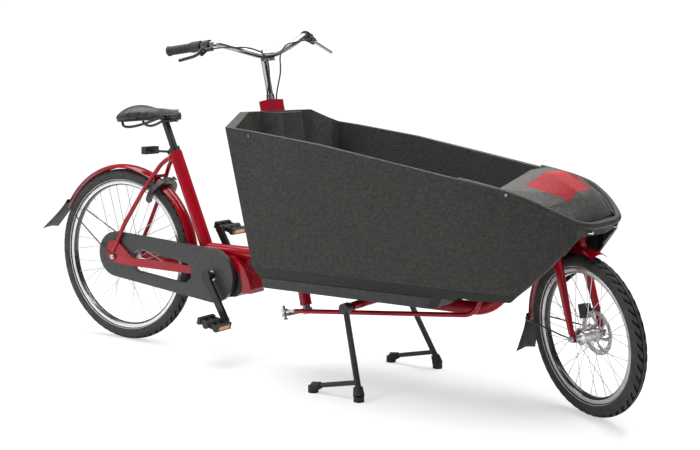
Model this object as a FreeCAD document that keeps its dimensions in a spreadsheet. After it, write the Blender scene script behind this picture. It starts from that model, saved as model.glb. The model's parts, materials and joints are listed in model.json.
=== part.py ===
import FreeCAD, Part
import math
import os
import Sketcher

# Two-wheeled cargo bicycle: a long frame with a box between the handlebar and the small front wheel.
# Millimetres.  +X is forward, +Y is the rider's left, +Z is up.  The origin lies on the ground, midway
# between the four feet of the parking stand.  The bicycle stands with its steering turned to the right.

Vector = FreeCAD.Vector
Rotation = FreeCAD.Rotation
Placement = FreeCAD.Placement

X_AXIS = Vector(1, 0, 0)
Y_AXIS = Vector(0, 1, 0)
Z_AXIS = Vector(0, 0, 1)

DRIVING_SIZES = [
    ("rear_axle_x", -1133, "rear axle, ahead of the origin"),
    ("origin_shift", 287, "from the stand's feet back to the middle of the bicycle's length"),
    ("rear_axle_z", 330, "height of the rear axle"),
    ("rear_tyre_radius", 329.5, "outside of the rear tyre"),
    ("rear_tyre_section", 24, "radius of the rear tyre's section"),
    ("rear_rim_inner", 267, "inner edge of the rear rim"),
    ("rear_rim_outer", 287, "bead seat of the rear rim"),
    ("front_tyre_radius", 252, "outside of the front tyre"),
    ("front_tyre_section", 23.5, "radius of the front tyre's section"),
    ("front_rim_inner", 190, "inner edge of the front rim"),
    ("front_rim_outer", 210, "bead seat of the front rim"),
    ("rim_half_width", 12.5, "half of a rim's width"),
    ("rim_shoulder", 7, "height of a rim's sloping sides"),
    ("axle_radius", 5, "radius of both axles"),
    ("running_gap", 0.05, "radial clearance of a running fit"),
    ("spoke_radius", 1.1, "radius of a spoke"),
    ("steering_tilt", 12, "angle of both steering axes behind vertical, degrees"),
    ("steering_rest", 30, "turn of the steering to the right at rest, degrees"),
    ("column_x", -443, "top of the steering column's housing"),
    ("column_z", 941, "top of the steering column's housing"),
    ("head_x", 728, "front steering axis abreast of the front axle"),
    ("head_z", 248, "front steering axis abreast of the front axle"),
    ("fork_rake", 25, "front axle ahead of its steering axis"),
    ("arm_length", 85, "steering arm, from its axis to the link pin"),
    ("column_radius", 14, "steering column's tube"),
    ("housing_radius", 21, "column housing's tube"),
    ("housing_bore", 17, "bore of the column housing and the head tube"),
    ("top_block_drop", 8, "top of the housing below the place where the steering axis is measured"),
    ("column_foot", -731, "lower end of the column housing, along its axis"),
    ("main_tube_radius", 24, "main tube"),
    ("main_tube_z", 385, "axis of the main tube"),
    ("beam_radius", 22, "beam under the box"),
    ("beam_z", 289, "axis of the beam under the box"),
    ("seat_tube_radius", 23.5, "seat tube"),
    ("seat_top_x", -881, "top of the seat tube's axis"),
    ("seat_top_z", 734, "top of the seat tube's axis"),
    ("seat_foot_x", -719, "foot of the seat tube's axis"),
    ("seat_foot_z", 355, "foot of the seat tube's axis"),
    ("post_radius", 13.6, "seat post"),
    ("crank_x", -663, "crank axis"),
    ("crank_z", 300, "crank axis"),
    ("crank_length", 170, "crank arm"),
    ("crank_rest", 30, "right crank ahead of straight down, degrees"),
    ("chain_y", -53, "plane of the chain"),
    ("chainring_teeth", 38, "teeth on the chainring"),
    ("sprocket_teeth", 19, "teeth on the rear sprocket"),
    ("chain_pitch", 12.7, "pitch of the chain"),
    ("rear_fender_radius", 348, "outside of the rear mudguard"),
    ("front_fender_radius", 271, "outside of the front mudguard"),
    ("fender_half_width", 28, "half of a mudguard's width"),
    ("fender_gauge", 1.6, "thickness of a mudguard"),
    ("stand_x", -4, "pivot of the stand"),
    ("stand_z", 278, "pivot of the stand"),
    ("stand_shaft_radius", 9, "pivot shaft of the stand"),
    ("stand_leg_radius", 10, "leg of the stand"),
    ("foot_radius", 17, "rubber foot of the stand"),
    ("bar_radius", 11, "handlebar tube"),
    ("grip_radius", 16, "handlebar grip"),
    ("saddle_length", 266, "length of the saddle"),
    ("saddle_width", 200, "width of the saddle"),
    ("rotor_radius", 70, "brake disc"),
    ("lock_radius", 58, "centre line of the frame lock's ring"),
    ("lock_bolt_radius", 4, "bolt of the frame lock"),
]

doc = FreeCAD.newDocument("CargoBicycle")
sheet = doc.addObject("Spreadsheet::Sheet", "Sizes")


class Size:
    """A length worked out from cells of the sheet: its number, and the formula that gives it."""

    def __init__(self, number, formula):
        self.number = float(number)
        self.formula = formula

    def __float__(self):
        return self.number

    def __neg__(self):
        return Size(-self.number, f"(-1 * {self.formula})")

    def __add__(self, other):
        other = as_size(other)
        return Size(self.number + other.number, f"({self.formula} + {other.formula})")

    def __sub__(self, other):
        other = as_size(other)
        return Size(self.number - other.number, f"({self.formula} - {other.formula})")

    def __mul__(self, other):
        other = as_size(other)
        return Size(self.number * other.number, f"({self.formula} * {other.formula})")

    def __truediv__(self, other):
        other = as_size(other)
        return Size(self.number / other.number, f"({self.formula} / {other.formula})")

    def __radd__(self, other):
        return as_size(other) + self

    def __rsub__(self, other):
        return as_size(other) - self

    def __rmul__(self, other):
        return as_size(other) * self


def as_size(value):
    return value if isinstance(value, Size) else Size(value, repr(float(value)))


def fill_sheet():
    """Writes the driving dimensions into the sheet and returns each as a Size under its own name."""
    sizes = {}
    for row, (alias, number, note) in enumerate(DRIVING_SIZES, start=1):
        sheet.set(f"A{row}", alias)
        sheet.set(f"B{row}", str(number))
        sheet.set(f"C{row}", note)
        sheet.setAlias(f"B{row}", alias)
        sizes[alias] = Size(number, f"Sizes.{alias}")
    doc.recompute()
    return sizes


SIZE = fill_sheet()
NODES = []


def number(name):
    return SIZE[name].number


# ---------------------------------------------------------------- document objects

def bind(item, **sizes):
    """Sets each property of a document object and binds it to the sheet."""
    for name, size in sizes.items():
        size = as_size(size)
        setattr(item, name, size.number)
        item.setExpression(name, size.formula)
    return item


def turned(axis):
    """The rotation that takes +Z to an axis."""
    return Rotation(Z_AXIS, Vector(axis))


def rod(radius, start, end):
    """A cylinder from one point to another."""
    start, end = Vector(*start), Vector(*end)
    item = doc.addObject("Part::Cylinder", "Rod")
    bind(item, Radius=radius)
    item.Height = (end - start).Length
    item.Placement = Placement(start, turned(end - start))
    return item


def disc(radius, height, base, axis=Z_AXIS):
    """A cylinder of a bound height that stands on a point."""
    item = doc.addObject("Part::Cylinder", "Disc")
    bind(item, Radius=radius, Height=height)
    item.Placement = Placement(Vector(*base), turned(axis))
    return item


def taper(first, second, start, end):
    """A cone from one point to another."""
    start, end = Vector(*start), Vector(*end)
    item = doc.addObject("Part::Cone", "Taper")
    bind(item, Radius1=first, Radius2=second)
    item.Height = (end - start).Length
    item.Placement = Placement(start, turned(end - start))
    return item


def block(low, high):
    """A box between two corners."""
    item = doc.addObject("Part::Box", "Block")
    bind(item, Length=as_size(high[0]) - low[0], Width=as_size(high[1]) - low[1],
         Height=as_size(high[2]) - low[2])
    item.Placement = Placement(Vector(*[float(value) for value in low]), Rotation())
    return item


def torus(centre_radius, section_radius):
    item = doc.addObject("Part::Torus", "Ring")
    return bind(item, Radius1=centre_radius, Radius2=section_radius)


def fused(*items):
    item = doc.addObject("Part::MultiFuse", "Fused")
    item.Shapes = list(items)
    return item


def cut(base, *tools):
    item = doc.addObject("Part::Cut", "Cut")
    item.Base = base
    item.Tool = tools[0] if len(tools) == 1 else fused(*tools)
    return item


def shared(first, second):
    item = doc.addObject("Part::Common", "Shared")
    item.Base = first
    item.Tool = second
    return item


def group(*items):
    """Separate solids that share one node."""
    item = doc.addObject("Part::Compound", "Group")
    item.Links = list(items)
    return item


def mirrored(source):
    """The same piece on the other side of the bicycle's middle plane."""
    item = doc.addObject("Part::Mirroring", "Mirrored")
    item.Source = source
    item.Base = Vector(0, 0, 0)
    item.Normal = Y_AXIS
    return item


def feature(shape):
    item = doc.addObject("Part::Feature", "Shaped")
    item.Shape = shape
    return item


def add_outline(sketch, points):
    """Draws a closed polygon whose corners are bound to the sheet."""
    from_origin = -1
    count = len(points)
    for index in range(count):
        start = points[index]
        end = points[(index + 1) % count]
        sketch.addGeometry(Part.LineSegment(Vector(float(start[0]), float(start[1]), 0),
                                            Vector(float(end[0]), float(end[1]), 0)), False)
    for index in range(count):
        sketch.addConstraint(Sketcher.Constraint("Coincident", index, 2, (index + 1) % count, 1))
    for index, corner in enumerate(points):
        for kind, value in zip(("DistanceX", "DistanceY"), corner):
            value = as_size(value)
            place = sketch.addConstraint(
                Sketcher.Constraint(kind, from_origin, 1, index, 1, value.number))
            sketch.setExpression(f"Constraints[{place}]", value.formula)


def new_body(plane_role, points):
    """A PartDesign body with one closed sketch on one of its own planes."""
    body = doc.addObject("PartDesign::Body", "Body")
    sketch = body.newObject("Sketcher::SketchObject", "Outline")
    plane = [item for item in body.Origin.OriginFeatures if item.Role == plane_role][0]
    sketch.AttachmentSupport = (plane, [""])
    sketch.MapMode = "FlatFace"
    add_outline(sketch, points)
    return body, sketch


def turned_body(points):
    """A solid of revolution about the body's Z axis; points are (radius, height)."""
    body, sketch = new_body("XZ_Plane", points)
    revolution = body.newObject("PartDesign::Revolution", "Revolution")
    revolution.Profile = sketch
    revolution.ReferenceAxis = (sketch, ["V_Axis"])
    revolution.Angle = 360
    return body


def padded_body(points, length):
    """A plate drawn in the body's XY plane and padded both ways along Z."""
    body, sketch = new_body("XY_Plane", points)
    pad = body.newObject("PartDesign::Pad", "Pad")
    pad.Profile = sketch
    bind(pad, Length=length)
    pad.Midplane = True
    return body


def from_middle():
    """The move from the stand's feet, where sizes are counted from, to the row's own origin."""
    return Placement(Vector(number("origin_shift"), 0, 0), Rotation())


def node(item, label, placement=None):
    """Names a finished sub-part and sets where it goes."""
    item.Label = label
    if placement is not None:
        item.Placement = placement.multiply(item.Placement)
    item.Placement = from_middle().multiply(item.Placement)
    NODES.append(item)
    return item


# ---------------------------------------------------------------- shapes without a primitive

def bent_wire(points, bends):
    """Straight runs joined by tangent arcs; bends gives the arc's radius at each inner point."""
    points = [Vector(*point) for point in points]
    edges = []
    start = points[0]
    for index in range(1, len(points) - 1):
        corner = points[index]
        back = (points[index - 1] - corner).normalize()
        ahead = (points[index + 1] - corner).normalize()
        turn = math.pi - back.getAngle(ahead)
        reach = bends[index - 1] * math.tan(turn / 2)
        enter = corner + back * reach
        leave = corner + ahead * reach
        inward = (back + ahead).normalize()
        middle = corner + inward * (bends[index - 1] / math.cos(turn / 2) - bends[index - 1])
        edges.append(Part.LineSegment(start, enter).toShape())
        edges.append(Part.Arc(enter, middle, leave).toShape())
        start = leave
    edges.append(Part.LineSegment(start, points[-1]).toShape())
    return Part.Wire(edges)


def swept(wire, section):
    """Sweeps a closed section along a wire."""
    return wire.makePipeShell([section], True, True)


def bent_tube(points, bends, radius, inner=None):
    """A round tube along straight runs and arcs, solid unless an inner radius is given."""
    wire = bent_wire(points, bends)
    direction = Vector(*points[1]) - Vector(*points[0])
    ring = Part.Wire(Part.Circle(Vector(*points[0]), direction, float(radius)).toShape())
    solid = swept(wire, ring)
    if inner is not None:
        hole = Part.Wire(Part.Circle(Vector(*points[0]), direction, float(inner)).toShape())
        solid = solid.cut(swept(wire, hole))
    return solid


def bent_bar(points, bends, width, height):
    """A rectangular bar along straight runs and arcs; height is measured along Z."""
    wire = bent_wire(points, bends)
    start = Vector(*points[0])
    direction = (Vector(*points[1]) - start).normalize()
    side = direction.cross(Z_AXIS).normalize() * (width / 2)
    rise = side.cross(direction).normalize() * (height / 2)
    corners = [start + side + rise, start - side + rise, start - side - rise, start + side - rise]
    return swept(wire, Part.makePolygon(corners + corners[:1]))


def polyhedron(faces):
    """A solid from triangles, each a list of three points."""
    triangles = [Part.Face(Part.makePolygon([*map(Vector, face), Vector(face[0])])) for face in faces]
    shell = Part.makeShell(triangles)
    solid = Part.makeSolid(shell)
    if solid.Volume < 0:
        solid.reverse()
    return solid.removeSplitter()


def hull_between(upper, lower):
    """A solid between two mirrored rings; each lists its right-hand points from back to front.

    A last point with y = 0 closes the ring at the front.
    """
    pairs = list(zip(upper, lower))
    flip = [((x, -y, z), (u, -v, w)) for (x, y, z), (u, v, w) in pairs]
    faces = []

    def quad(a, b, c, d):
        for face in ((a, b, c), (a, c, d)):
            if len(set(face)) == 3:
                faces.append(face)

    for (right_a, right_b), (left_a, left_b) in zip(zip(pairs, pairs[1:]), zip(flip, flip[1:])):
        quad(right_a[1], right_b[1], right_b[0], right_a[0])
        quad(left_a[0], left_b[0], left_b[1], left_a[1])
        quad(right_a[0], right_b[0], left_b[0], left_a[0])
        quad(left_a[1], left_b[1], right_b[1], right_a[1])
    quad(pairs[0][0], flip[0][0], flip[0][1], pairs[0][1])
    quad(pairs[-1][1], flip[-1][1], flip[-1][0], pairs[-1][0])
    return polyhedron([[Vector(*point) for point in face] for face in faces])


def between_rings(upper, lower, triangles=None):
    """A solid between two closed rings with the same number of points, in the same order.

    The ends are cut into triangles from their first point, or as a list of three numbers each says.
    """
    faces = []
    if triangles is None:
        triangles = [(0, index, index + 1) for index in range(1, len(upper) - 1)]
    for first, second, third in triangles:
        faces.append([upper[first], upper[second], upper[third]])
        faces.append([lower[first], lower[third], lower[second]])
    for index in range(len(upper)):
        after = (index + 1) % len(upper)
        faces.append([lower[index], lower[after], upper[after]])
        faces.append([lower[index], upper[after], upper[index]])
    return polyhedron(faces)


def prism(points, low, high):
    """A side view, drawn as (x, z) points, pushed across the bicycle from one y to another."""
    corners = [Vector(x, low, z) for x, z in points]
    face = Part.Face(Part.makePolygon(corners + corners[:1]))
    return face.extrude(Vector(0, high - low, 0))


def toothed_plate(teeth, pitch, thickness):
    """A chain wheel about the Z axis: one trapezium of a tooth for each pitch of the chain."""
    pitch_radius = pitch / (2 * math.sin(math.pi / teeth))
    root = pitch_radius - 4
    tip = pitch_radius + 1.5
    step = 2 * math.pi / teeth
    corners = []
    for tooth in range(teeth):
        for share, radius in ((-0.34, root), (-0.12, tip), (0.12, tip), (0.34, root)):
            angle = (tooth + share) * step
            corners.append(Vector(radius * math.cos(angle), radius * math.sin(angle), -thickness / 2))
    face = Part.Face(Part.makePolygon(corners + corners[:1]))
    return face.extrude(Vector(0, 0, thickness)), pitch_radius


def belt_outline(first, first_radius, second, second_radius, y):
    """The loop round two circles that lie in one plane of constant y."""
    along = second - first
    distance = along.Length
    along.normalize()
    up = Vector(-along.z, 0, along.x)
    lean = math.asin((second_radius - first_radius) / distance)
    edges = []
    contacts = []
    for side in (1, -1):
        normal = up * (side * math.cos(lean)) - along * math.sin(lean)
        contacts.append((first + normal * first_radius, second + normal * second_radius))
    (top_a, top_b), (low_a, low_b) = contacts
    edges.append(Part.LineSegment(top_a, top_b).toShape())
    edges.append(Part.Arc(top_b, second + along * second_radius, low_b).toShape())
    edges.append(Part.LineSegment(low_b, low_a).toShape())
    edges.append(Part.Arc(low_a, first - along * first_radius, top_a).toShape())
    wire = Part.Wire(edges)
    wire.translate(Vector(0, y, 0))
    return wire


def belt_plate(first, first_radius, second, second_radius, low, high):
    face = Part.Face(belt_outline(first, first_radius, second, second_radius, low))
    return face.extrude(Vector(0, high - low, 0))


# ---------------------------------------------------------------- shared places

REAR_AXLE = Vector(number("rear_axle_x"), 0, number("rear_axle_z"))
CRANK_AXIS = Vector(number("crank_x"), 0, number("crank_z"))
COLUMN_TOP = Vector(number("column_x"), 0, number("column_z"))
HEAD_POINT = Vector(number("head_x"), 0, number("head_z"))
TILT = Rotation(Y_AXIS, -number("steering_tilt"))
TURN = Rotation(Z_AXIS, -number("steering_rest"))
ACROSS = Rotation(X_AXIS, -90)

# Along a steering axis: +Z up the axis, +X ahead of it.  The turned places hold what steers.
COLUMN_STILL = Placement(COLUMN_TOP, TILT)
COLUMN_TURNED = COLUMN_STILL.multiply(Placement(Vector(), TURN))
HEAD_STILL = Placement(HEAD_POINT, TILT)
HEAD_TURNED = HEAD_STILL.multiply(Placement(Vector(), TURN))
FRONT_WHEEL = HEAD_TURNED.multiply(Placement(Vector(number("fork_rake"), 0, 0), ACROSS))
REAR_WHEEL = Placement(REAR_AXLE, ACROSS)

SEAT_TOP = Vector(number("seat_top_x"), 0, number("seat_top_z"))
SEAT_FOOT = Vector(number("seat_foot_x"), 0, number("seat_foot_z"))
SEAT_UP = (SEAT_TOP - SEAT_FOOT).normalize()
SEAT_FRAME = Placement(SEAT_TOP, turned(SEAT_UP))


# ---------------------------------------------------------------- wheels

def wheel(side, place, tyre_radius, tyre_section, rim_inner, rim_outer, hub_points, flange, spokes):
    """Tyre, rim, hub and spokes about the Z axis of a wheel's own place."""
    half = SIZE["rim_half_width"]
    shoulder = SIZE["rim_shoulder"]
    centre = tyre_radius - tyre_section
    bead = disc(rim_outer, 4 * tyre_section, (0, 0, -2 * tyre_section.number))
    node(cut(torus(centre, tyre_section), bead), f"{side}_tyre", place)
    rim = turned_body([
        (rim_inner, half * -0.6), (rim_inner, half * 0.6), (rim_inner + shoulder, half),
        (rim_outer, half), (rim_outer, half * -1), (rim_inner + shoulder, half * -1)])
    node(rim, f"{side}_rim", place)
    node(turned_body(hub_points), f"{side}_hub", place)
    node(feature(spoke_set(flange, rim_inner.number + 1, spokes)), f"{side}_spokes", place)


def spoke_set(flange, rim_radius, count):
    """Crossed spokes: each leaves its flange nearly at a tangent and meets the rim in step."""
    flange_radius, flange_height = flange
    spokes = []
    for index in range(count):
        side = 1 if index % 2 else -1
        lead = 58 if (index // 2) % 2 else -58
        at_rim = math.radians(360 / count * index)
        at_hub = at_rim + math.radians(lead)
        foot = Vector(flange_radius * math.cos(at_hub), flange_radius * math.sin(at_hub),
                      side * flange_height)
        head = Vector(rim_radius * math.cos(at_rim), rim_radius * math.sin(at_rim), side * 3)
        along = head - foot
        spokes.append(Part.makeCylinder(number("spoke_radius"), along.Length, foot, along))
    return Part.makeCompound(spokes)


def wheels():
    bore = SIZE["axle_radius"] + SIZE["running_gap"]
    wheel("rear", REAR_WHEEL, SIZE["rear_tyre_radius"], SIZE["rear_tyre_section"],
          SIZE["rear_rim_inner"], SIZE["rear_rim_outer"],
          [(bore, -32), (24, -32), (24, -27), (46, -27), (46, -23), (36, -20), (36, 20), (46, 23),
           (46, 27), (30, 31), (22, 50), (12, 58), (bore, 58)], (44, 25), 36)
    wheel("front", FRONT_WHEEL, SIZE["front_tyre_radius"], SIZE["front_tyre_section"],
          SIZE["front_rim_inner"], SIZE["front_rim_outer"],
          [(bore, -46), (10, -46), (13, -32), (26, -29), (26, -25), (17, -22), (17, 22), (26, 25),
           (26, 29), (21, 31), (21, 38.5), (12, 41), (10, 46), (bore, 46)], (24, 27), 32)
    rotor = cut(disc(SIZE["rotor_radius"], 2, (0, 0, 36)), disc(21, 6, (0, 0, 34)))
    node(rotor, "brake_disc", FRONT_WHEEL)


def axle(label, place, half_length, dropout, hub_end):
    """A solid axle with lock nuts inside the dropouts and wheel nuts outside them."""
    shaft = disc(SIZE["axle_radius"], 2 * half_length, (0, 0, -half_length))
    pieces = [shaft]
    for side in (1, -1):
        inner = side * (hub_end[0 if side > 0 else 1] + 0.4)
        lock = side * dropout[0]
        nut = side * dropout[1]
        pieces.append(disc(8, abs(lock - inner), (0, 0, min(inner, lock))))
        pieces.append(disc(9.5, 8, (0, 0, nut if side > 0 else nut - 8)))
    node(fused(*pieces), label, place)


# ---------------------------------------------------------------- frame

def main_tube_axis():
    z = number("main_tube_z")
    foot = COLUMN_STILL.multVec(Vector(0, 0, (z - number("column_z")) / math.cos(
        math.radians(number("steering_tilt")))))
    share = (z - SEAT_FOOT.z) / (SEAT_TOP.z - SEAT_FOOT.z)
    start = SEAT_FOOT + (SEAT_TOP - SEAT_FOOT) * share
    return start, Vector(foot.x, 0, z)


def housing_space():
    """The room that the column's housing takes from the tubes welded to it."""
    foot = COLUMN_STILL.multVec(Vector(0, 0, -850))
    return disc(SIZE["housing_radius"], 900, foot, TILT.multVec(Z_AXIS))


def frame_tubes():
    start, end = main_tube_axis()
    seat_length = (SEAT_TOP - SEAT_FOOT).Length
    seat_tube = disc(SIZE["seat_tube_radius"], seat_length, SEAT_FOOT, SEAT_UP)
    post_bore = disc(SIZE["post_radius"] + SIZE["running_gap"], 262, SEAT_TOP - SEAT_UP * 260, SEAT_UP)
    node(cut(seat_tube, post_bore), "seat_tube")

    outer = rod(SIZE["main_tube_radius"], start, end)
    seat_space = disc(SIZE["seat_tube_radius"], seat_length, SEAT_FOOT, SEAT_UP)
    node(cut(outer, seat_space, housing_space()), "main_tube")

    top = -SIZE["top_block_drop"]
    top_block = block((-21.5, -42, top - 60), (21.5, 42, top))
    foot = SIZE["column_foot"]
    tube = disc(SIZE["housing_radius"], top - foot, (0, 0, foot.number))
    bore = disc(SIZE["housing_bore"], 20 - foot, (0, 0, foot.number - 10))
    ports = [disc(4.2, 40, (4, side * 27, -30)) for side in (1, -1)]
    node(cut(fused(top_block, tube), bore, *ports), "column_housing", COLUMN_STILL)

    beam = bent_tube([(-300, 0, number("beam_z")), (432, 0, number("beam_z")), (575, 0, 560),
                      (650, 0, 612)], [120, 80], number("beam_radius"))
    head_space = disc(SIZE["beam_radius"], 140, HEAD_STILL.multVec(Vector(0, 0, 300)),
                      TILT.multVec(Z_AXIS))
    cross = disc(14, 300, (number("stand_x"), -150, number("stand_z")), Y_AXIS)
    cross_bore = disc(SIZE["stand_shaft_radius"] + SIZE["running_gap"], 320,
                      (number("stand_x"), -160, number("stand_z")), Y_AXIS)
    node(cut(fused(feature(beam), cross), cross_bore, head_space, housing_space()), "cargo_beam")

    head = cut(disc(SIZE["beam_radius"], 112, (0, 0, 312)), disc(SIZE["housing_bore"], 132, (0, 0, 302)))
    node(head, "head_tube", HEAD_STILL)


def steering_bearings():
    """Plain bushes: two in the column's housing and two in the head tube."""
    bushes = []
    for place, heights in ((COLUMN_STILL, (-18 - number("top_block_drop"), number("column_foot"))), (HEAD_STILL, (312, 406))):
        for height in heights:
            bush = cut(disc(SIZE["housing_bore"], 18, (0, 0, height)),
                       disc(SIZE["column_radius"] + SIZE["running_gap"], 24, (0, 0, height - 3)))
            bush.Placement = place
            bushes.append(bush)
    node(group(*bushes), "steering_bushes")


def motor_cradle():
    """The curved bracket that holds the motor from above and in front."""
    side = [(-658, 372), (-580, 376), (-536, 340), (-512, 296), (-504, 262), (-504, 246),
            (-546, 246), (-541, 276), (-555, 314), (-592, 347), (-640, 356)]
    start, end = main_tube_axis()
    tube_space = rod(SIZE["main_tube_radius"], start, end)
    seat_space = disc(SIZE["seat_tube_radius"], 120, SEAT_FOOT, SEAT_UP)
    node(cut(feature(prism(side, -40, 40)), tube_space, seat_space), "motor_cradle")


def rear_stays():
    """Chain stays, seat stays, dropouts and the yoke in front of the wheel, welded together."""
    pieces = [block((-765, -43, 303), (-735, 43, 345)), block((-765, -16, 340), (-738, 16, 378)),
              block((-785, -12, 334), (-760, 12, 344)), rod(6, (-964, -40, 641), (-964, 40, 641))]
    for side in (1, -1):
        chain_stay = bent_bar([(-1108, side * -72, 322), (-1036, side * -72, 318), (-756, side * -36, 308),
                               (-738, side * -36, 308)], [120, 60], 13, 30)
        seat_stay = bent_tube([(-1134, side * -74, 350), (-1078, side * -73.5, 452),
                               (-1000, side * -55, 580), (-930, side * -24, 690), (-893, side * -13, 716)],
                              [200, 200, 110], 8)
        dropout = prism([(-1142, 393), (-1108, 388), (-1071, 358), (-1036, 333), (-1036, 303), (-1087, 304),
                         (-1120, 307), (-1148, 314), (-1168, 336), (-1171, 356), (-1161, 376)],
                        side * 70.5 - 3, side * 70.5 + 3)
        pieces += [feature(chain_stay), feature(seat_stay), feature(dropout)]
    seat_space = disc(SIZE["seat_tube_radius"], 420, SEAT_FOOT, SEAT_UP)
    axle_space = disc(SIZE["axle_radius"], 170, (REAR_AXLE.x, -85, REAR_AXLE.z), Y_AXIS)
    node(cut(fused(*pieces), seat_space, axle_space), "rear_stays")


def seat_clamp():
    collar = cut(disc(20, 18, (0, 0, 0)), disc(SIZE["post_radius"] + SIZE["running_gap"], 30, (0, 0, -5)))
    lug = block((-31, -9, 1), (-18, 9, 17))
    slot = block((-34, -1.5, -2), (-12, 1.5, 20))
    bolt = rod(3, (-26, -13, 9), (-26, 13, 9))
    node(fused(cut(fused(collar, lug), slot), bolt), "seat_clamp", SEAT_FRAME)


# ---------------------------------------------------------------- drive

def motor_unit():
    side = [(-729, 330), (-716, 296), (-706, 246), (-670, 226), (-620, 222), (-575, 228), (-546, 246),
            (-541, 276), (-555, 314), (-592, 347), (-640, 356), (-690, 352), (-712, 341)]
    spindle_space = disc(12.05, 120, (CRANK_AXIS.x, -60, CRANK_AXIS.z), Y_AXIS)
    node(cut(feature(prism(side, -38, 44)), spindle_space), "motor_unit")


def chain_drive():
    pitch = number("chain_pitch")
    ring, ring_radius = toothed_plate(int(number("chainring_teeth")), pitch, 3)
    ring_place = Placement(CRANK_AXIS + Vector(0, number("chain_y"), 0), ACROSS)
    spider = cut(disc(34, 7, (0, 0, -3.5)), disc(12, 20, (0, 0, -10)))
    windows = [disc(14, 12, (52 * math.cos(turn), 52 * math.sin(turn), -6))
               for turn in (math.radians(72 * index) for index in range(5))]
    node(cut(fused(feature(ring), spider), disc(12, 20, (0, 0, -10)), *windows), "chainring", ring_place)

    sprocket, sprocket_radius = toothed_plate(int(number("sprocket_teeth")), pitch, 3)
    carrier = disc(17, 22, (0, 0, -4))
    bore = disc(SIZE["axle_radius"] + SIZE["running_gap"], 40, (0, 0, -10))
    node(cut(fused(feature(sprocket), carrier), bore), "rear_sprocket",
         Placement(REAR_AXLE + Vector(0, number("chain_y"), 0), ACROSS))

    low, high = number("chain_y") - 3.5, number("chain_y") + 3.5
    outside = belt_plate(REAR_AXLE, sprocket_radius + 6, CRANK_AXIS, ring_radius + 6, low, high)
    inside = belt_plate(REAR_AXLE, sprocket_radius + 2, CRANK_AXIS, ring_radius + 2, low - 1, high + 1)
    node(feature(outside.cut(inside)), "drive_chain")


def chaincase():
    """A closed shell round the chain, with a window that the right chain stay passes through."""
    back = REAR_AXLE + Vector(3, 0, 8)
    outside = belt_plate(back, 86, CRANK_AXIS, 98, -64, -44)
    inside = belt_plate(back, 83, CRANK_AXIS, 95, -62, -46)
    outline = [(-1041, 349), (-1027, 361), (-999, 367), (-801, 338), (-774, 333), (-759, 318), (-759, 284),
               (-784, 262), (-828, 262), (-1029, 283), (-1041, 296)]
    corner_radius = 8

    def window(margin, low, high):
        corners = [Vector(x, low, z) for x, z in outline]
        core = Part.makePolygon(corners + corners[:1]).makeOffset2D(-corner_radius)
        rounded = core.makeOffset2D(corner_radius + margin)
        return Part.Face(rounded).extrude(Vector(0, high - low, 0))

    tunnel = window(2.5, -62, -46)
    shell = outside.cut(inside.cut(tunnel)).cut(window(0, -70, -40))
    holes = [Part.makeCylinder(19, 12, Vector(REAR_AXLE.x, y, REAR_AXLE.z), Y_AXIS) for y in (-52, -72)]
    holes.append(Part.makeCylinder(20, 40, Vector(CRANK_AXIS.x, -75, CRANK_AXIS.z), Y_AXIS))
    node(feature(shell.cut(holes[0]).cut(holes[1]).cut(holes[2])), "chaincase")


def crankset():
    """Spindle and both arms; the right arm hangs down and a little ahead."""
    spindle = disc(12, 172, (CRANK_AXIS.x, -86, CRANK_AXIS.z), Y_AXIS)
    pieces = [spindle]
    for side in (-1, 1):
        lean = math.radians(number("crank_rest"))
        reach = Vector(math.sin(lean), 0, -math.cos(lean)) * (number("crank_length") * -side)
        inner = side * 84
        outer = side * 97
        pieces.append(rod(19, (CRANK_AXIS.x, side * 76, CRANK_AXIS.z), (CRANK_AXIS.x, outer, CRANK_AXIS.z)))
        arm = Part.makeBox(26, 13, number("crank_length"))
        arm.translate(Vector(-13, min(inner, outer), 0))
        arm.Placement = Placement(CRANK_AXIS, turned(reach)).multiply(arm.Placement)
        pieces.append(feature(arm))
        tip = CRANK_AXIS + reach
        boss = rod(14, (tip.x, inner, tip.z), (tip.x, outer, tip.z))
        pin = rod(7, (tip.x, outer, tip.z), (tip.x, side * 205, tip.z))
        pieces += [boss, pin]
    node(fused(*pieces), "crankset")


def pedals():
    for label, side in (("right_pedal", -1), ("left_pedal", 1)):
        lean = math.radians(number("crank_rest"))
        tip = CRANK_AXIS + Vector(math.sin(lean), 0, -math.cos(lean)) * (number("crank_length") * -side)
        low, high = sorted((side * 104, side * 203))
        low_end, high_end = sorted((side * 112, side * 195))
        body = disc(13, high - low, (0, low, 0), Y_AXIS)
        plates = [block((edge - 7, low_end, -12), (edge + 7, high_end, 12)) for edge in (-38, 38)]
        ribs = [block((-40, y - 4, -9), (40, y + 4, 9)) for y in (low_end + 8, (low + high) / 2, high_end - 8)]
        bore = disc(7.05, 120, (0, low - 5, 0), Y_AXIS)
        place = Placement(Vector(tip.x, 0, tip.z), Rotation(Y_AXIS, 14))
        node(cut(fused(body, *plates, *ribs), bore), label, place)


# ---------------------------------------------------------------- mudguards, light and lock

def fender(radius, first, last):
    """A curved channel about the Z axis, from one angle to another, measured from +X towards -Y."""
    half = number("fender_half_width")
    gauge = number("fender_gauge")
    sag = 13
    outer = Part.Arc(Vector(radius - sag, 0, -half), Vector(radius, 0, 0), Vector(radius - sag, 0, half))
    inner = Part.Arc(Vector(radius - sag - gauge / 2, 0, -half + gauge), Vector(radius - gauge, 0, 0),
                     Vector(radius - sag - gauge / 2, 0, half - gauge))
    edges = [outer.toShape(), Part.LineSegment(outer.EndPoint, inner.EndPoint).toShape(), inner.toShape(),
             Part.LineSegment(inner.StartPoint, outer.StartPoint).toShape()]
    section = Part.Face(Part.Wire(Part.sortEdges(edges)[0]))
    section.rotate(Vector(), Z_AXIS, -first)
    return section.revolve(Vector(), Z_AXIS, first - last)


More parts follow.
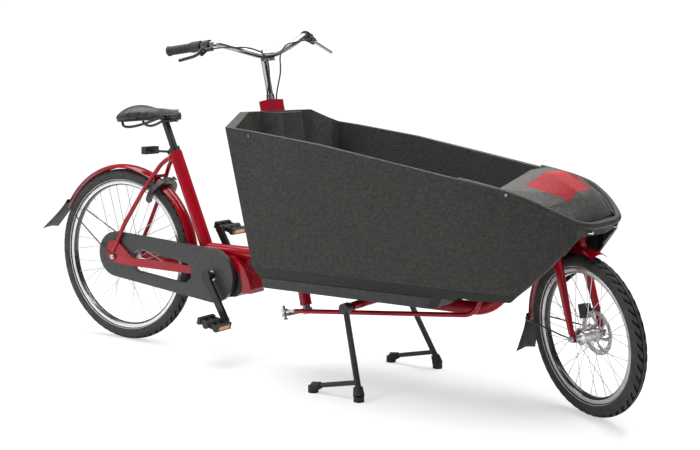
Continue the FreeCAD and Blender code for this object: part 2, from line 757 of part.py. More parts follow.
def flap(radius, first, last, flare):
    """A rubber flap that carries on from the end of a mudguard and flares outwards."""
    outer, inner = [], []
    for step in range(5):
        share = step / 4
        angle = -math.radians(first + (last - first) * share)
        for line, offset in ((outer, 2.5), (inner, 0)):
            reach = radius + flare * share * share + offset
            line.append(Vector(reach * math.cos(angle), reach * math.sin(angle), -26))
    corners = outer + inner[::-1]
    face = Part.Face(Part.makePolygon(corners + corners[:1]))
    return face.extrude(Vector(0, 0, 52))


def stay_pair(dropout, clip_radius, clip_angle, half_width):
    """Wire stays, one each side of a wheel, each with an eye on the axle and a round clip."""
    pieces = []
    angle = -math.radians(clip_angle)
    out = Vector(math.cos(angle), math.sin(angle), 0)
    for side in (1, -1):
        level = Vector(0, 0, side * (dropout + 2.5))
        eye = Part.makeCylinder(11, 2, level - Vector(0, 0, side * 1.5 + 1), Z_AXIS)
        end = out * clip_radius + Vector(0, 0, side * half_width)
        stay = bent_tube([level + out * 9.7, level + out * 52, end], [40], 2.5)
        round_clip = Part.makeCylinder(8, 5, end - Vector(0, 0, side * 2.5 + 2.5), Z_AXIS)
        hole = Part.makeCylinder(number("axle_radius"), 20, level - Z_AXIS * 10, Z_AXIS)
        pieces.append(eye.fuse(stay).fuse(round_clip).cut(hole))
    return Part.makeCompound(pieces)


def mudguards():
    node(feature(fender(number("rear_fender_radius"), 1, 152)), "rear_fender", REAR_WHEEL)
    node(feature(flap(number("rear_fender_radius") + 0.3, 146, 170, 68)), "rear_mudflap", REAR_WHEEL)
    node(feature(stay_pair(73.5, 338, 149, 33)), "rear_fender_stays", REAR_WHEEL)
    node(feature(fender(number("front_fender_radius"), 63, 171)), "front_fender", FRONT_WHEEL)
    node(feature(flap(number("front_fender_radius") + 0.3, 165, 189, 66)), "front_mudflap", FRONT_WHEEL)
    node(feature(stay_pair(57, 261, 168, 33)), "front_fender_stays", FRONT_WHEEL)


def rear_light():
    lamp = block((-1018, -36, 722), (-994, 36, 750))
    arm = block((-994, -6, 730), (-908, 6, 738))
    strap = rod(6, (-908, 0, 734), (-896, 0, 738))
    clamp_space = disc(SIZE["seat_tube_radius"], 300, SEAT_TOP - SEAT_UP * 280, SEAT_UP)
    collar_space = disc(32, 30, SEAT_TOP, SEAT_UP)
    node(cut(fused(lamp, arm, strap), clamp_space, collar_space), "rear_light")


def lock_place():
    """The ring's own place: +X points away from the axle and +Y across the tyre."""
    angle = math.radians(54)
    out = Vector(math.cos(angle), 0, math.sin(angle))
    along = out.cross(Y_AXIS)
    centre = REAR_AXLE + out * 308
    return Placement(FreeCAD.Matrix(out.x, 0, along.x, centre.x, out.y, 1, along.y, centre.y,
                                    out.z, 0, along.z, centre.z, 0, 0, 0, 1))


def ring_sector(inner, outer, low, high, first, last):
    """Part of a flat ring about Z between two angles in degrees."""
    corners = [Vector(inner, 0, low), Vector(outer, 0, low), Vector(outer, 0, high), Vector(inner, 0, high)]
    face = Part.Face(Part.makePolygon(corners + corners[:1]))
    face.rotate(Vector(), Z_AXIS, first)
    return face.revolve(Vector(), Z_AXIS, last - first)


def arc_rod(radius, section, first, last):
    """A round rod bent about Z between two angles in degrees."""
    ring = Part.Face(Part.Wire(Part.Circle(Vector(radius, 0, 0), Y_AXIS, section).toShape()))
    ring.rotate(Vector(), Z_AXIS, first)
    return ring.revolve(Vector(), Z_AXIS, last - first)


def frame_lock():
    radius = number("lock_radius")
    section = number("lock_bolt_radius")
    body = ring_sector(radius - 8, radius + 9, -9, 9, -128, 128)
    channel = arc_rod(radius, section + number("running_gap"), -132, 132)
    slot = ring_sector(radius, radius + 12, -2.6, 2.6, 14, 132)
    ring = body.cut(channel).cut(slot)
    for side in (1, -1):
        ring = ring.fuse(Part.makeBox(12, 14, 24.3, Vector(18, 47 * side - 7, 9)))
    node(feature(ring), "lock_ring", lock_place())
    bolt = arc_rod(radius, section, 20, 126)
    knob_stem = Part.makeCylinder(2.4, 18, Vector(radius, 0, 0), X_AXIS)
    knob = Part.makeBox(7, 16, 12, Vector(radius + 11, -8, -6))
    lever = knob_stem.fuse(knob)
    lever.rotate(Vector(), Z_AXIS, 24)
    node(feature(bolt.fuse(lever)), "lock_bolt", lock_place())


# ---------------------------------------------------------------- saddle

def saddle():
    post_top = 132
    post = disc(SIZE["post_radius"], 282, SEAT_TOP - SEAT_UP * 150, SEAT_UP)
    node(post, "seat_post")
    head = SEAT_TOP + SEAT_UP * post_top
    clamp = block((head.x - 22, -29, head.z), (head.x + 24, 29, head.z + 14))
    rail_routes = [[(-1085, side * 34, 870), (-1050, side * 30, 866), (-1000, side * 22, head.z + 14),
                    (-905, side * 20, head.z + 14), (-868, side * 10, 871)] for side in (1, -1)]
    rails = [feature(bent_tube(route, [60, 80, 60], 3.5)) for route in rail_routes]
    post_space = disc(SIZE["post_radius"], 40, head - SEAT_UP * 40, SEAT_UP)
    node(cut(fused(clamp, *rails), post_space), "saddle_rails")

    length = number("saddle_length")
    width = number("saddle_width")
    front = -848
    middle = front - length / 2
    outline = [(0, 9), (0.04, 13), (0.12, 17), (0.35, 23), (0.55, 43), (0.70, 76), (0.82, 96), (0.91, 98),
               (0.97, 88), (1, 60)]

    def plan(z, share):
        """The saddle's outline at one height, drawn in towards its middle by a share."""
        right = [Vector(middle + (front - length * along - middle) * (1 - share),
                        -half * width / 200 * (1 - share), z) for along, half in outline]
        left = [Vector(point.x, -point.y, z) for point in reversed(right)]
        return Part.makePolygon(right + left + right[:1])

    shell = Part.Face(plan(876, 0.09)).extrude(Vector(0, 0, 5))
    node(feature(shell), "saddle_shell")
    cushion = Part.makeLoft([plan(852, 0.13), plan(866, 0.03), plan(880, 0), plan(893, 0.05), plan(900, 0.14),
                             plan(904, 0.3)], True, True)
    hollow = Part.makeLoft([plan(845, 0.2), plan(866, 0.1), plan(881.2, 0.08)], True, True)
    waist = Part.makeBox(84, 120, 33, Vector(head.x - 42, -60, 842))
    cover = cushion.cut(hollow).cut(waist)
    for route in rail_routes:
        cover = cover.cut(bent_tube(route, [60, 80, 60], 5))
    node(feature(cover), "saddle_cover")


# ---------------------------------------------------------------- cargo box

RIM = [(-422, -199, 898), (-380, -332, 853), (-283, -330, 843), (-33, -323, 811), (217, -310, 768),
       (417, -300, 731), (602, -290, 700), (697, -240, 650), (772, -168, 598), (790, 0, 594)]
SILL = [(-391, -150, 383), (-351, -228, 383), (-283, -226, 383), (-33, -225, 383), (217, -225, 383),
        (472, -222, 358), (586, -218, 365), (693, -212, 468), (767, -165, 560), (786, 0, 560)]


def box_outer():
    sides = hull_between(RIM, SILL)
    floor_ring = [(-376, -140, 350), (-338, -208, 350), (-283, -208, 350), (-33, -208, 350),
                  (217, -208, 350), (400, -205, 350)]
    sill_ring = [(x, y, z + 1) for x, y, z in SILL[:5]] + [(420, -222, 366)]
    return sides.fuse(hull_between(sill_ring, floor_ring))


def box_cavity():
    upper = [(-399, -194, 928), (-359, -314, 883), (-283, -313, 873), (-33, -306, 841), (217, -293, 798),
             (424, -283, 761), (601, -268, 730)]
    lower = [(-358, -128, 376), (-322, -205, 376), (-283, -203, 376), (-33, -203, 376), (217, -203, 376),
             (330, -202, 376), (366, -200, 376)]
    return hull_between(upper, lower)


def nose_cavity():
    """The hollow under the nose, open below and above, for the head tube, the fork and the wheel."""
    upper = [(596, -262, 720), (690, -216, 720), (757, -150, 720), (768, 0, 720)]
    lower = [(352, -204, 290), (586, -200, 290), (693, -192, 290), (800, -150, 290)]
    body = hull_between(upper[:3], lower[:3])
    front = prism([(560, 290), (900, 290), (900, 540), (768, 566), (768, 720), (640, 720)], -148, 148)
    return body.fuse(front)


def rim_cap():
    """Makes the rear rim level through the wall, where the outside alone would slope inwards."""
    upper = [RIM[0], RIM[1], (-346, -300, 850), (-379, -172, 898)]
    lower = [(-412, -190, 840), (-372, -318, 800), (-350, -300, 796), (-379, -172, 836)]
    upper += [(x, -y, z) for x, y, z in reversed(upper)]
    lower += [(x, -y, z) for x, y, z in reversed(lower)]
    triangles = [(0, 1, 2), (0, 2, 3), (0, 3, 4), (0, 4, 7), (7, 4, 5), (7, 5, 6)]
    return between_rings(upper, lower, triangles)


def column_bulge():
    """The smooth hump inside the tub that covers the steering column."""
    upper = [(-414, -114), (-397, -114), (-352, -60), (-352, 60), (-397, 114), (-414, 114)]
    lower = [(-384, -100), (-352, -100), (-275, -58), (-275, 58), (-352, 100), (-384, 100)]
    return between_rings([(x, y, 894) for x, y in upper], [(x, y, 370) for x, y in lower])


def nose_hood(tub):
    """The faceted roof over the nose: a raised middle strip with a sloping facet each side."""
    roof = [(567, -268, 704), (600, -262, 700), (690, -216, 652), (754, -148, 604), (762, 0, 602)]
    ridge = [(574, -62, 746), (636, -56, 736), (730, -50, 682), (748, -40, 656), (760, 0, 622)]
    under_roof = [(540, -254, 690), (600, -248, 686), (683, -206, 640), (742, -136, 590), (750, 0, 588)]
    under_ridge = [(540, -56, 732), (632, -52, 724), (724, -46, 670), (738, -36, 646), (748, 0, 608)]
    crown = hull_between(ridge, roof)
    plate = hull_between(roof, [(x, y, z - 14) for x, y, z in roof])
    hollow = hull_between(under_ridge, under_roof)
    below = hull_between(under_roof, [(x, y, z - 60) for x, y, z in under_roof])
    return crown.fuse(plate).cut(hollow).cut(below).cut(tub)


def box_bolts():
    """Round-headed bolts: three through each side of the box and its nose."""
    ends = []
    for side in (1, -1):
        ends.append(((-287, side * 312, 828), (-287, side * 330, 828)))
        ends.append(((602, side * 276, 690), (602, side * 294, 690)))
        ends.append(((772, side * 100, 575), (790, side * 100, 575)))
    return ends


def cargo_box():
    tub = box_outer().fuse(rim_cap()).cut(box_cavity()).cut(nose_cavity())
    channel = Part.makeBox(225, 96, 900, Vector(-200, -48, -840))
    channel.Placement = COLUMN_STILL
    tub = tub.fuse(column_bulge()).cut(channel).removeSplitter()
    hood = nose_hood(tub)
    bolts = []
    bolt_radius = 5
    for start, end in box_bolts():
        bolts.append(rod(bolt_radius, start, end))
        along = Vector(*end) - Vector(*start)
        space = Part.makeCylinder(bolt_radius, along.Length, Vector(*start), along)
        tub = tub.cut(space)
        hood = hood.cut(space)
    node(feature(tub), "cargo_box")

    upper = [(-372, -136, 349.7), (-334, -205, 349.7), (320, -205, 349.7), (344, -180, 349.7)]
    lower = [(-364, -130, 311), (-326, -198, 311), (296, -198, 311), (320, -172, 311)]
    tray = hull_between(upper, lower).cut(channel)
    node(feature(tray), "box_tray")
    node(feature(hood), "nose_hood")
    node(group(*bolts), "box_bolts")


# ---------------------------------------------------------------- stand

def stand():
    """Two legs on one shaft; each leg has a foot in front and a bar back to a second foot."""
    x, z = number("stand_x"), number("stand_z")
    shaft = disc(SIZE["stand_shaft_radius"], 376, (x, -188, z), Y_AXIS)
    pieces = [shaft]
    feet = []
    for side in (1, -1):
        top = (x, side * 190, z)
        foot = (91, side * 257, 34)
        knee = (67, side * 240, 62)
        heel = (-76, side * 247, 24)
        pieces.append(disc(17, 30, (x, side * 190 - 15, z), Y_AXIS))
        pieces.append(rod(SIZE["stand_leg_radius"], top, foot))
        pieces.append(rod(8, (81, side * 250, 58), heel))
        feet.append(fused(taper(15, 19, (86, side * 253.5, 46), (93, side * 259, 18)),
                          disc(SIZE["foot_radius"], 18, (93, side * 259, 0))))
        feet.append(fused(taper(11, 17, (-60, side * 247, 28), (-88, side * 247, 18)),
                          disc(SIZE["foot_radius"], 22, (-90, side * 247, 0))))
    frame = fused(*pieces)
    rubber = group(*feet)
    node(cut(frame, group(*[copy_of(foot) for foot in feet])), "stand_frame")
    node(rubber, "stand_feet")


def copy_of(source):
    """A second object that follows the first one's shape."""
    item = doc.addObject("Part::Compound", "Copy")
    item.Links = [source]
    return item


# ---------------------------------------------------------------- steering

def steering_column():
    low = -764
    tube = disc(SIZE["column_radius"], 12 - low, (0, 0, low))
    quill_space = disc(SIZE["bar_radius"], 140, (0, 0, -118))
    reach = number("arm_length")
    hub = disc(20, 16, (0, 0, -758))
    arm = block((-11, -reach, -756), (11, -10, -746))
    eye = disc(11, 10, (0, -reach, -756))
    pin = disc(5, 44, (0, -reach, -762))
    cap = disc(8, 6, (0, -reach, -768))
    node(fused(cut(tube, quill_space), hub, arm, eye, pin, cap), "steering_column", COLUMN_TURNED)


def bar_points(side):
    return [(35, 0, 146), (38, side * 100, 172), (10, side * 164, 205), (-178, side * 274, 225)]


def grip_line(side, distance):
    """A point on the straight end of the handlebar, measured out from its last bend."""
    bend = Vector(*bar_points(side)[2])
    end = Vector(*bar_points(side)[3])
    return bend + (end - bend).normalize() * distance


def along_grip(side, first, last, radius):
    return rod(radius, grip_line(side, first), grip_line(side, last))


def handlebar():
    quill = disc(SIZE["bar_radius"], 246, (0, 0, -110))
    neck = rod(13, (0, 0, 136), (35, 0, 146))
    head = disc(17, 40, (35, -20, 146), Y_AXIS)
    bolt = rod(4, (35, -25, 128), (35, 25, 128))
    node(cut(fused(quill, neck, head, bolt), disc(SIZE["bar_radius"], 60, (35, -30, 146), Y_AXIS)),
         "handlebar_stem", COLUMN_TURNED)

    points = bar_points(1)[::-1] + [(35, 30, 146), (35, -30, 146)] + bar_points(-1)[1:]
    points = [point for point in points if point != (35, 0, 146)]
    bar = bent_tube(points, [60, 80, 60, 60, 80, 60], number("bar_radius"))
    node(feature(bar), "handlebar", COLUMN_TURNED)

    grips = []
    for side, first in ((1, 74), (-1, 112)):
        sleeve = along_grip(side, first, 222, SIZE["grip_radius"])
        grips.append(cut(sleeve, along_grip(side, first - 5, 218.8, SIZE["bar_radius"])))
    node(group(*grips), "grips", COLUMN_TURNED)

    shifter = cut(along_grip(-1, 72, 111, 19), along_grip(-1, 60, 120, SIZE["bar_radius"] + SIZE["running_gap"]))
    node(shifter, "gear_shifter", COLUMN_TURNED)
    out, _ = lever_frame(-1)
    report_axis("gear_shifter", COLUMN_TURNED.multVec(grip_line(-1, 90)), COLUMN_TURNED.Rotation.multVec(out))
    report_axis("front_wheel", FRONT_WHEEL.Base, FRONT_WHEEL.Rotation.multVec(Z_AXIS))
    report_axis("column", COLUMN_TOP, TILT.multVec(Z_AXIS))
    report_axis("head", HEAD_POINT, TILT.multVec(Z_AXIS))
    report_axis("seat", SEAT_TOP, SEAT_UP)
    place = lock_place()
    report_axis("lock", place.Base, place.Rotation.multVec(Z_AXIS))


def lever_frame(side):
    """Directions at one end of the bar: out along the grip, ahead of it, and the lever's plane."""
    out = (grip_line(side, 200) - grip_line(side, 50)).normalize()
    ahead = Vector(abs(out.y), side * abs(out.x), 0).normalize()
    down = (ahead * 0.72 - Z_AXIS * 0.69).normalize()
    down = (down - out * down.dot(out)).normalize()
    return out, down


def brake_controls():
    perches = []
    for side in (1, -1):
        out, down = lever_frame(side)
        ring = along_grip(side, 34, 58, 17)
        centre = grip_line(side, 46)
        body = rod(10, centre, centre + down * 30)
        barrel = rod(7, centre + down * 26 - out * 36, centre + down * 26 + out * 8)
        pivot = centre + down * 36 + out * 10
        axis = down.cross(out).normalize()
        ear = rod(8, pivot + axis * 6, pivot + axis * 10)
        other_ear = rod(8, pivot - axis * 10, pivot - axis * 6)
        web = rod(5, centre + down * 22 + axis * 8, pivot + axis * 8)
        other_web = rod(5, centre + down * 22 - axis * 8, pivot - axis * 8)
        pin = rod(2.5, pivot - axis * 10, pivot + axis * 10)
        space = along_grip(side, 28, 70, SIZE["bar_radius"])
        lever_space = rod(11, pivot - axis * 5.8, pivot + axis * 5.8)
        body = cut(fused(ring, body, barrel, ear, other_ear, web, other_web), space, lever_space)
        perches.append(fused(body, pin))
        reach, opening = (108, 66) if side > 0 else (84, 26)
        lever = bent_tube([pivot, pivot + out * 26 + down * 16, pivot + out * reach + down * opening], [30], 5.5)
        hub = Part.makeCylinder(7, 8, pivot - axis * 4, axis)
        lever = lever.fuse(hub).cut(Part.makeCylinder(2.55, 30, pivot - axis * 15, axis))
        label = "left_brake_lever" if side > 0 else "right_brake_lever"
        node(feature(lever), label, COLUMN_TURNED)
        report_axis(label, COLUMN_TURNED.multVec(pivot), COLUMN_TURNED.Rotation.multVec(axis))
    node(group(*perches), "brake_perches", COLUMN_TURNED)


def report_axis(label, point, axis):
    """Prints where a joint turns, for the record."""
    place = ", ".join(f"{value / 1000:.5f}" for value in from_middle().multVec(Vector(*point)))
    way = ", ".join(f"{value:.5f}" for value in axis)
    print(f"AXIS {label} pos [{place}] axis [{way}]")


def link_ends():
    """The two pins that the steering rod joins, in the bicycle's own frame at rest."""
    reach = number("arm_length")
    rear = COLUMN_TURNED.multVec(Vector(0, -reach, -736))
    front = HEAD_TURNED.multVec(Vector(0, -reach, 312))
    return rear, front


def steering_link():
    up = TILT.multVec(Z_AXIS)
    rear, front = link_ends()
    rear_start = rear + Vector(46, 0, 4)
    front_end = front - Vector(30, 0, 0)
    y = rear.y
    points = [tuple(rear_start), (396, y, 282), (455, y, 400), (525, y, 522), (568, y, front.z), tuple(front_end)]
    tube = bent_tube(points, [60, 120, 60, 20], 8)
    node(feature(tube), "steering_rod")
    ends = []
    for pin, start, end in ((rear, rear + (rear_start - rear).normalize() * 9, rear_start),
                            (front, front - Vector(9, 0, 0), front_end)):
        eye = disc(11, 12, pin - up * 6, up)
        shank = rod(5, start, end)
        ends.append(cut(fused(eye, shank), disc(5.06, 30, pin - up * 15, up)))
    node(group(*ends), "rod_ends")
    report_axis("rod_swing", rear, up)
    report_axis("front_pin", front, up)


def fork_blade(side):
    return taper(9, 17, (number("fork_rake"), side * 57, 12), (2, side * 47, 286))


def fork():
    rake = number("fork_rake")
    reach = number("arm_length")
    crown = block((-24, -56, 284), (24, 56, 302))
    steerer = disc(SIZE["column_radius"], 136, (0, 0, 300))
    pieces = [crown, steerer]
    for side in (1, -1):
        pieces.append(fork_blade(side))
        pieces.append(block((rake - 11, side * 54 - 3, -12), (rake + 11, side * 54 + 3, 24)))
    pieces.append(block((-11, -reach, 286), (11, -50, 300)))
    pieces.append(disc(11, 14, (0, -reach, 286)))
    pieces.append(disc(5, 36, (0, -reach, 290)))
    slots = disc(SIZE["axle_radius"], 140, (rake, -70, 0), Y_AXIS)
    node(cut(fused(*pieces), slots), "fork", HEAD_TURNED)

    body = cut(block((-40, 31, 45), (-2, 52, 88)), block((-36, 35.2, 40), (4, 38.8, 78)))
    bracket = block((-10, 40, 58), (14, 52, 74))
    node(cut(fused(body, bracket), fork_blade(1)), "brake_caliper", HEAD_TURNED)


# ---------------------------------------------------------------- cables

def cables():
    """Brake hose, brake cable and gear cable, from the bar to the ports in the column's housing."""
    routes = []
    for side, port in ((1, 27), (-1, -27)):
        out, down = lever_frame(side)
        start = grip_line(side, 46) + down * 26 - out * 36.5
        points = [start, start - out * 40, Vector(58, side * 66, 172),
                  Vector(84, side * 24, 138), Vector(76, -side * 6 + port, 78), Vector(18, port, 34),
                  Vector(4, port, 0), Vector(4, port, -24)]
        still = COLUMN_STILL.inverse().multiply(COLUMN_TURNED)
        placed = [still.multVec(point) if index < 5 else point for index, point in enumerate(points)]
        routes.append([tuple(point) for point in placed])
    tubes = []
    for route in routes:
        bends = []
        for index in range(1, len(route) - 1):
            corner = Vector(*route[index])
            back = Vector(*route[index - 1]) - corner
            ahead = Vector(*route[index + 1]) - corner
            turn = math.pi - back.getAngle(ahead)
            bends.append(0.45 * min(back.Length, ahead.Length) / math.tan(turn / 2))
        print("CABLE", [[round(value, 1) for value in COLUMN_STILL.multVec(Vector(*point))] for point in route])
        tubes.append(bent_tube(route, bends, 2.5))
    node(feature(Part.makeCompound(tubes)), "control_cables", COLUMN_STILL)


# ---------------------------------------------------------------- build and export

def check(items):
    """Stops on a failed object, or on a sub-part whose shape is missing or not valid."""
    bad = [item.Name for item in doc.Objects if {"Invalid", "Error"} & set(item.State)]
    for item in items:
        if item.Shape.isNull() or not item.Shape.isValid() or item.Shape.Volume <= 0:
            bad.append(item.Label)
    if bad:
        raise RuntimeError(f"failed: {sorted(set(bad))}")


def build():
    wheels()
    axle("rear_axle", REAR_WHEEL, 87, (67.5, 75.5), (58, 57.3))
    axle("front_axle", FRONT_WHEEL, 70, (51, 59), (46, 46))
    frame_tubes()
    steering_bearings()
    motor_cradle()
    rear_stays()
    seat_clamp()
    motor_unit()
    chain_drive()
    chaincase()
    crankset()
    pedals()
    mudguards()
    rear_light()
    frame_lock()
    saddle()
    cargo_box()
    stand()
    steering_column()
    handlebar()
    brake_controls()
    steering_link()
    fork()
    cables()
    doc.recompute()
    check(NODES)
    os.makedirs("parts", exist_ok=True)
    for item in NODES:
        item.Shape.exportStep(f"parts/{item.Label}.step")
        print(f"{item.Label:20s} {item.Shape.Volume / 1000:10.1f} cm3  solids {len(item.Shape.Solids)}")
    print(len(NODES), "nodes")


build()
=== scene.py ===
import json
import math

import bmesh
import bpy
from mathutils import Matrix, Vector


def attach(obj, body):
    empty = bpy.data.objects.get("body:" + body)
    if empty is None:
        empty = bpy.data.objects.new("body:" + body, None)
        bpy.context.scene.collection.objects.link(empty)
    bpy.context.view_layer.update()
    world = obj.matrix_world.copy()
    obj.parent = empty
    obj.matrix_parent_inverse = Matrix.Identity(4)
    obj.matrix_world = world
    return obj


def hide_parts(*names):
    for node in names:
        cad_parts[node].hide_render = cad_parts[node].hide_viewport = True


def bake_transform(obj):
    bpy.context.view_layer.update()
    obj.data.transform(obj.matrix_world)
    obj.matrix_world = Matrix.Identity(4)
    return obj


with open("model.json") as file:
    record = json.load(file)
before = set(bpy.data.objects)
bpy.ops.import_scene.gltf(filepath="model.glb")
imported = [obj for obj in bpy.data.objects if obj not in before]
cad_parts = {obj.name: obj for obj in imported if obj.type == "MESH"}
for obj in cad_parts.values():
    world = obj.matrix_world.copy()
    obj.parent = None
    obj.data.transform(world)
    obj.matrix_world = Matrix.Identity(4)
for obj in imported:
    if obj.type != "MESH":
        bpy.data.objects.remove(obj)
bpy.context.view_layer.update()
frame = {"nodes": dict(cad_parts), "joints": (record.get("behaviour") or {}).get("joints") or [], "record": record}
JOINTS = {joint["name"]: joint for joint in frame["joints"]}
SLOTS = {part["node"]: part["material_slot"] for part in frame["record"]["subparts"]}
BODY_OF = {node: body for body, nodes in frame["record"]["behaviour"]["bodies"].items() for node in nodes}
Z_AXIS = Vector((0, 0, 1))
TURN = 2 * math.pi

# Places in metres in the shared frame, and angles in degrees.
SCENE_MIDDLE = (0.287, 0, 0.4)
REAR_AXLE = (-0.846, 0, 0.330)
FRONT_AXLE = (1.03618, -0.0125, 0.2525)
CRANK_CENTRE = Vector((-0.376, 0, 0.300))
CRANK_LENGTH = 0.170
COLUMN_TOP = (-0.156, 0, 0.941)
TRAY_TOP = 0.3835
SADDLE_NOSE, SADDLE_LENGTH, SADDLE_WIDEST = -0.566, 0.257, 0.094
EDGE_ANGLE = 32
STEPS_PER_BLOCK = 6
SWELL_FRAMES = 20
GRIP_END = 0.222

# The steering stands leaned back 12 degrees and swung 30 degrees to the right.
STEERED = Matrix.Rotation(math.radians(-12), 4, "Y") @ Matrix.Rotation(math.radians(-30), 4, "Z")


# ---------------------------------------------------------------- camera, floor and lights

def look(eye, target, roll=0.0):
    """A camera or lamp matrix at eye, looking at target."""
    back = (Vector(eye) - Vector(target)).normalized()
    right = Z_AXIS.cross(back).normalized()
    up = back.cross(right)
    turn = Matrix((right, up, back)).transposed().to_4x4()
    return Matrix.Translation(eye) @ turn @ Matrix.Rotation(roll, 4, "Z")


def make_camera():
    data = bpy.data.cameras.new("camera")
    data.lens = 61.1
    data.sensor_width = 36
    camera = bpy.data.objects.new("camera", data)
    camera.matrix_world = look((2.328, -3.348, 1.036), (0.176, 0, 0.520), math.radians(0.38))
    bpy.context.scene.collection.objects.link(camera)
    bpy.context.scene.camera = camera


def area_lamp(name, eye, target, size, power):
    data = bpy.data.lights.new(name, "AREA")
    data.shape = "RECTANGLE"
    data.size, data.size_y = size
    data.energy = power
    lamp = bpy.data.objects.new(name, data)
    lamp.matrix_world = look(eye, target)
    bpy.context.scene.collection.objects.link(lamp)


def make_floor_material():
    """White paper: it takes soft shadows near the object and is seen as plain white further out."""
    material = principled("floor_white", (0.9, 0.9, 0.9), 0.9, Specular_IOR_Level=0.0)
    shader = material.node_tree.nodes["Principled BSDF"]
    output = material.node_tree.nodes["Material Output"]
    place = node_of(material, "ShaderNodeTexCoord")
    length = material.node_tree.nodes.new("ShaderNodeVectorMath")
    length.operation = "LENGTH"
    wire(material, place.outputs["Object"], length.inputs[0])
    fade = node_of(material, "ShaderNodeMapRange")
    fade.interpolation_type = "SMOOTHSTEP"
    fade.inputs["From Min"].default_value = 1.3
    fade.inputs["From Max"].default_value = 2.8
    fade.inputs["To Min"].default_value = 0.5
    wire(material, length.outputs["Value"], fade.inputs["Value"])
    glow = node_of(material, "ShaderNodeEmission", Strength=1.05)
    path = node_of(material, "ShaderNodeLightPath")
    seen = material.node_tree.nodes.new("ShaderNodeMath")
    seen.operation = "MULTIPLY"
    wire(material, fade.outputs["Result"], seen.inputs[0])
    wire(material, path.outputs["Is Camera Ray"], seen.inputs[1])
    mix = node_of(material, "ShaderNodeMixShader")
    wire(material, seen.outputs["Value"], mix.inputs["Fac"])
    wire(material, shader.outputs["BSDF"], mix.inputs[1])
    wire(material, glow.outputs["Emission"], mix.inputs[2])
    wire(material, mix.outputs["Shader"], output.inputs["Surface"])
    return material


def make_world():
    """White where the camera sees it; dimmer as a light, so the sides stay dark."""
    world = bpy.data.worlds.new("sky")
    world.use_nodes = True
    sky = world.node_tree.nodes["Background"]
    sky.inputs["Color"].default_value = (1, 1, 1, 1)
    path = world.node_tree.nodes.new("ShaderNodeLightPath")
    strength = world.node_tree.nodes.new("ShaderNodeMapRange")
    strength.inputs["To Min"].default_value = 0.20
    strength.inputs["To Max"].default_value = 1.05
    world.node_tree.links.new(path.outputs["Is Camera Ray"], strength.inputs["Value"])
    world.node_tree.links.new(strength.outputs["Result"], sky.inputs["Strength"])
    bpy.context.scene.world = world


def make_studio():
    """A white floor, a white sky, a large soft lamp above and three smaller ones around."""
    mesh = bpy.data.meshes.new("floor")
    reach = 40
    mesh.from_pydata([(-reach, -reach, 0), (reach, -reach, 0), (reach, reach, 0), (-reach, reach, 0)],
                     [], [(0, 1, 2, 3)])
    floor = bpy.data.objects.new("floor", mesh)
    just_below = -0.0005
    floor.location = (SCENE_MIDDLE[0], 0, just_below)
    floor.data.materials.append(make_floor_material())
    bpy.context.scene.collection.objects.link(floor)
    make_world()
    bpy.context.scene.view_settings.view_transform = "Standard"
    area_lamp("top_lamp", (0.087, 0.3, 3.4), SCENE_MIDDLE, (5.0, 3.6), 300)
    area_lamp("front_lamp", (-1.3, -4.0, 2.6), SCENE_MIDDLE, (0.22, 2.0), 56)
    area_lamp("nose_lamp", (4.2, -1.0, 1.6), SCENE_MIDDLE, (1.0, 1.4), 16)
    area_lamp("rear_lamp", (-3.1, -1.8, 1.9), SCENE_MIDDLE, (0.9, 1.8), 30)


# ---------------------------------------------------------------- materials

def principled(name, colour, roughness, metallic=0.0, **extra):
    """A material with one Principled shader; extra sets more of its sockets by name."""
    material = bpy.data.materials.new(name)
    material.use_nodes = True
    shader = material.node_tree.nodes["Principled BSDF"]
    shader.inputs["Base Color"].default_value = (*colour, 1)
    shader.inputs["Roughness"].default_value = roughness
    shader.inputs["Metallic"].default_value = metallic
    for socket, value in extra.items():
        shader.inputs[socket.replace("_", " ")].default_value = value
    return material


def node_of(material, kind, **settings):
    """A new node with its inputs set by name."""
    made = material.node_tree.nodes.new(kind)
    for socket, value in settings.items():
        made.inputs[socket.replace("_", " ")].default_value = value
    return made


def wire(material, source, target):
    material.node_tree.links.new(source, target)


def place_texture(material, texture, stretch=(1, 1, 1)):
    """Feeds a texture the object's own coordinates in metres, stretched along each axis."""
    coordinates = node_of(material, "ShaderNodeTexCoord")
    mapping = node_of(material, "ShaderNodeMapping", Scale=stretch)
    wire(material, coordinates.outputs["Object"], mapping.inputs["Vector"])
    wire(material, mapping.outputs["Vector"], texture.inputs["Vector"])


def tint(material, dark, light, scale, stretch=(1, 1, 1), low=0.35, high=0.65):
    """Base colour that wanders between two colours over cloudy noise."""
    cloud = node_of(material, "ShaderNodeTexNoise", Scale=scale, Detail=4.0, Roughness=0.6)
    place_texture(material, cloud, stretch)
    ramp = node_of(material, "ShaderNodeValToRGB")
    ramp.color_ramp.elements[0].position = low
    ramp.color_ramp.elements[0].color = (*dark, 1)
    ramp.color_ramp.elements[1].position = high
    ramp.color_ramp.elements[1].color = (*light, 1)
    wire(material, cloud.outputs["Fac"], ramp.inputs["Fac"])
    wire(material, ramp.outputs["Color"], material.node_tree.nodes["Principled BSDF"].inputs["Base Color"])
    return material


def worn(material, low, high, scale):
    """Roughness that wanders between two values, as handling and dust leave it."""
    cloud = node_of(material, "ShaderNodeTexNoise", Scale=scale, Detail=5.0)
    place_texture(material, cloud)
    spread = node_of(material, "ShaderNodeMapRange")
    spread.inputs["To Min"].default_value = low
    spread.inputs["To Max"].default_value = high
    wire(material, cloud.outputs["Fac"], spread.inputs["Value"])
    wire(material, spread.outputs["Result"], material.node_tree.nodes["Principled BSDF"].inputs["Roughness"])
    return material


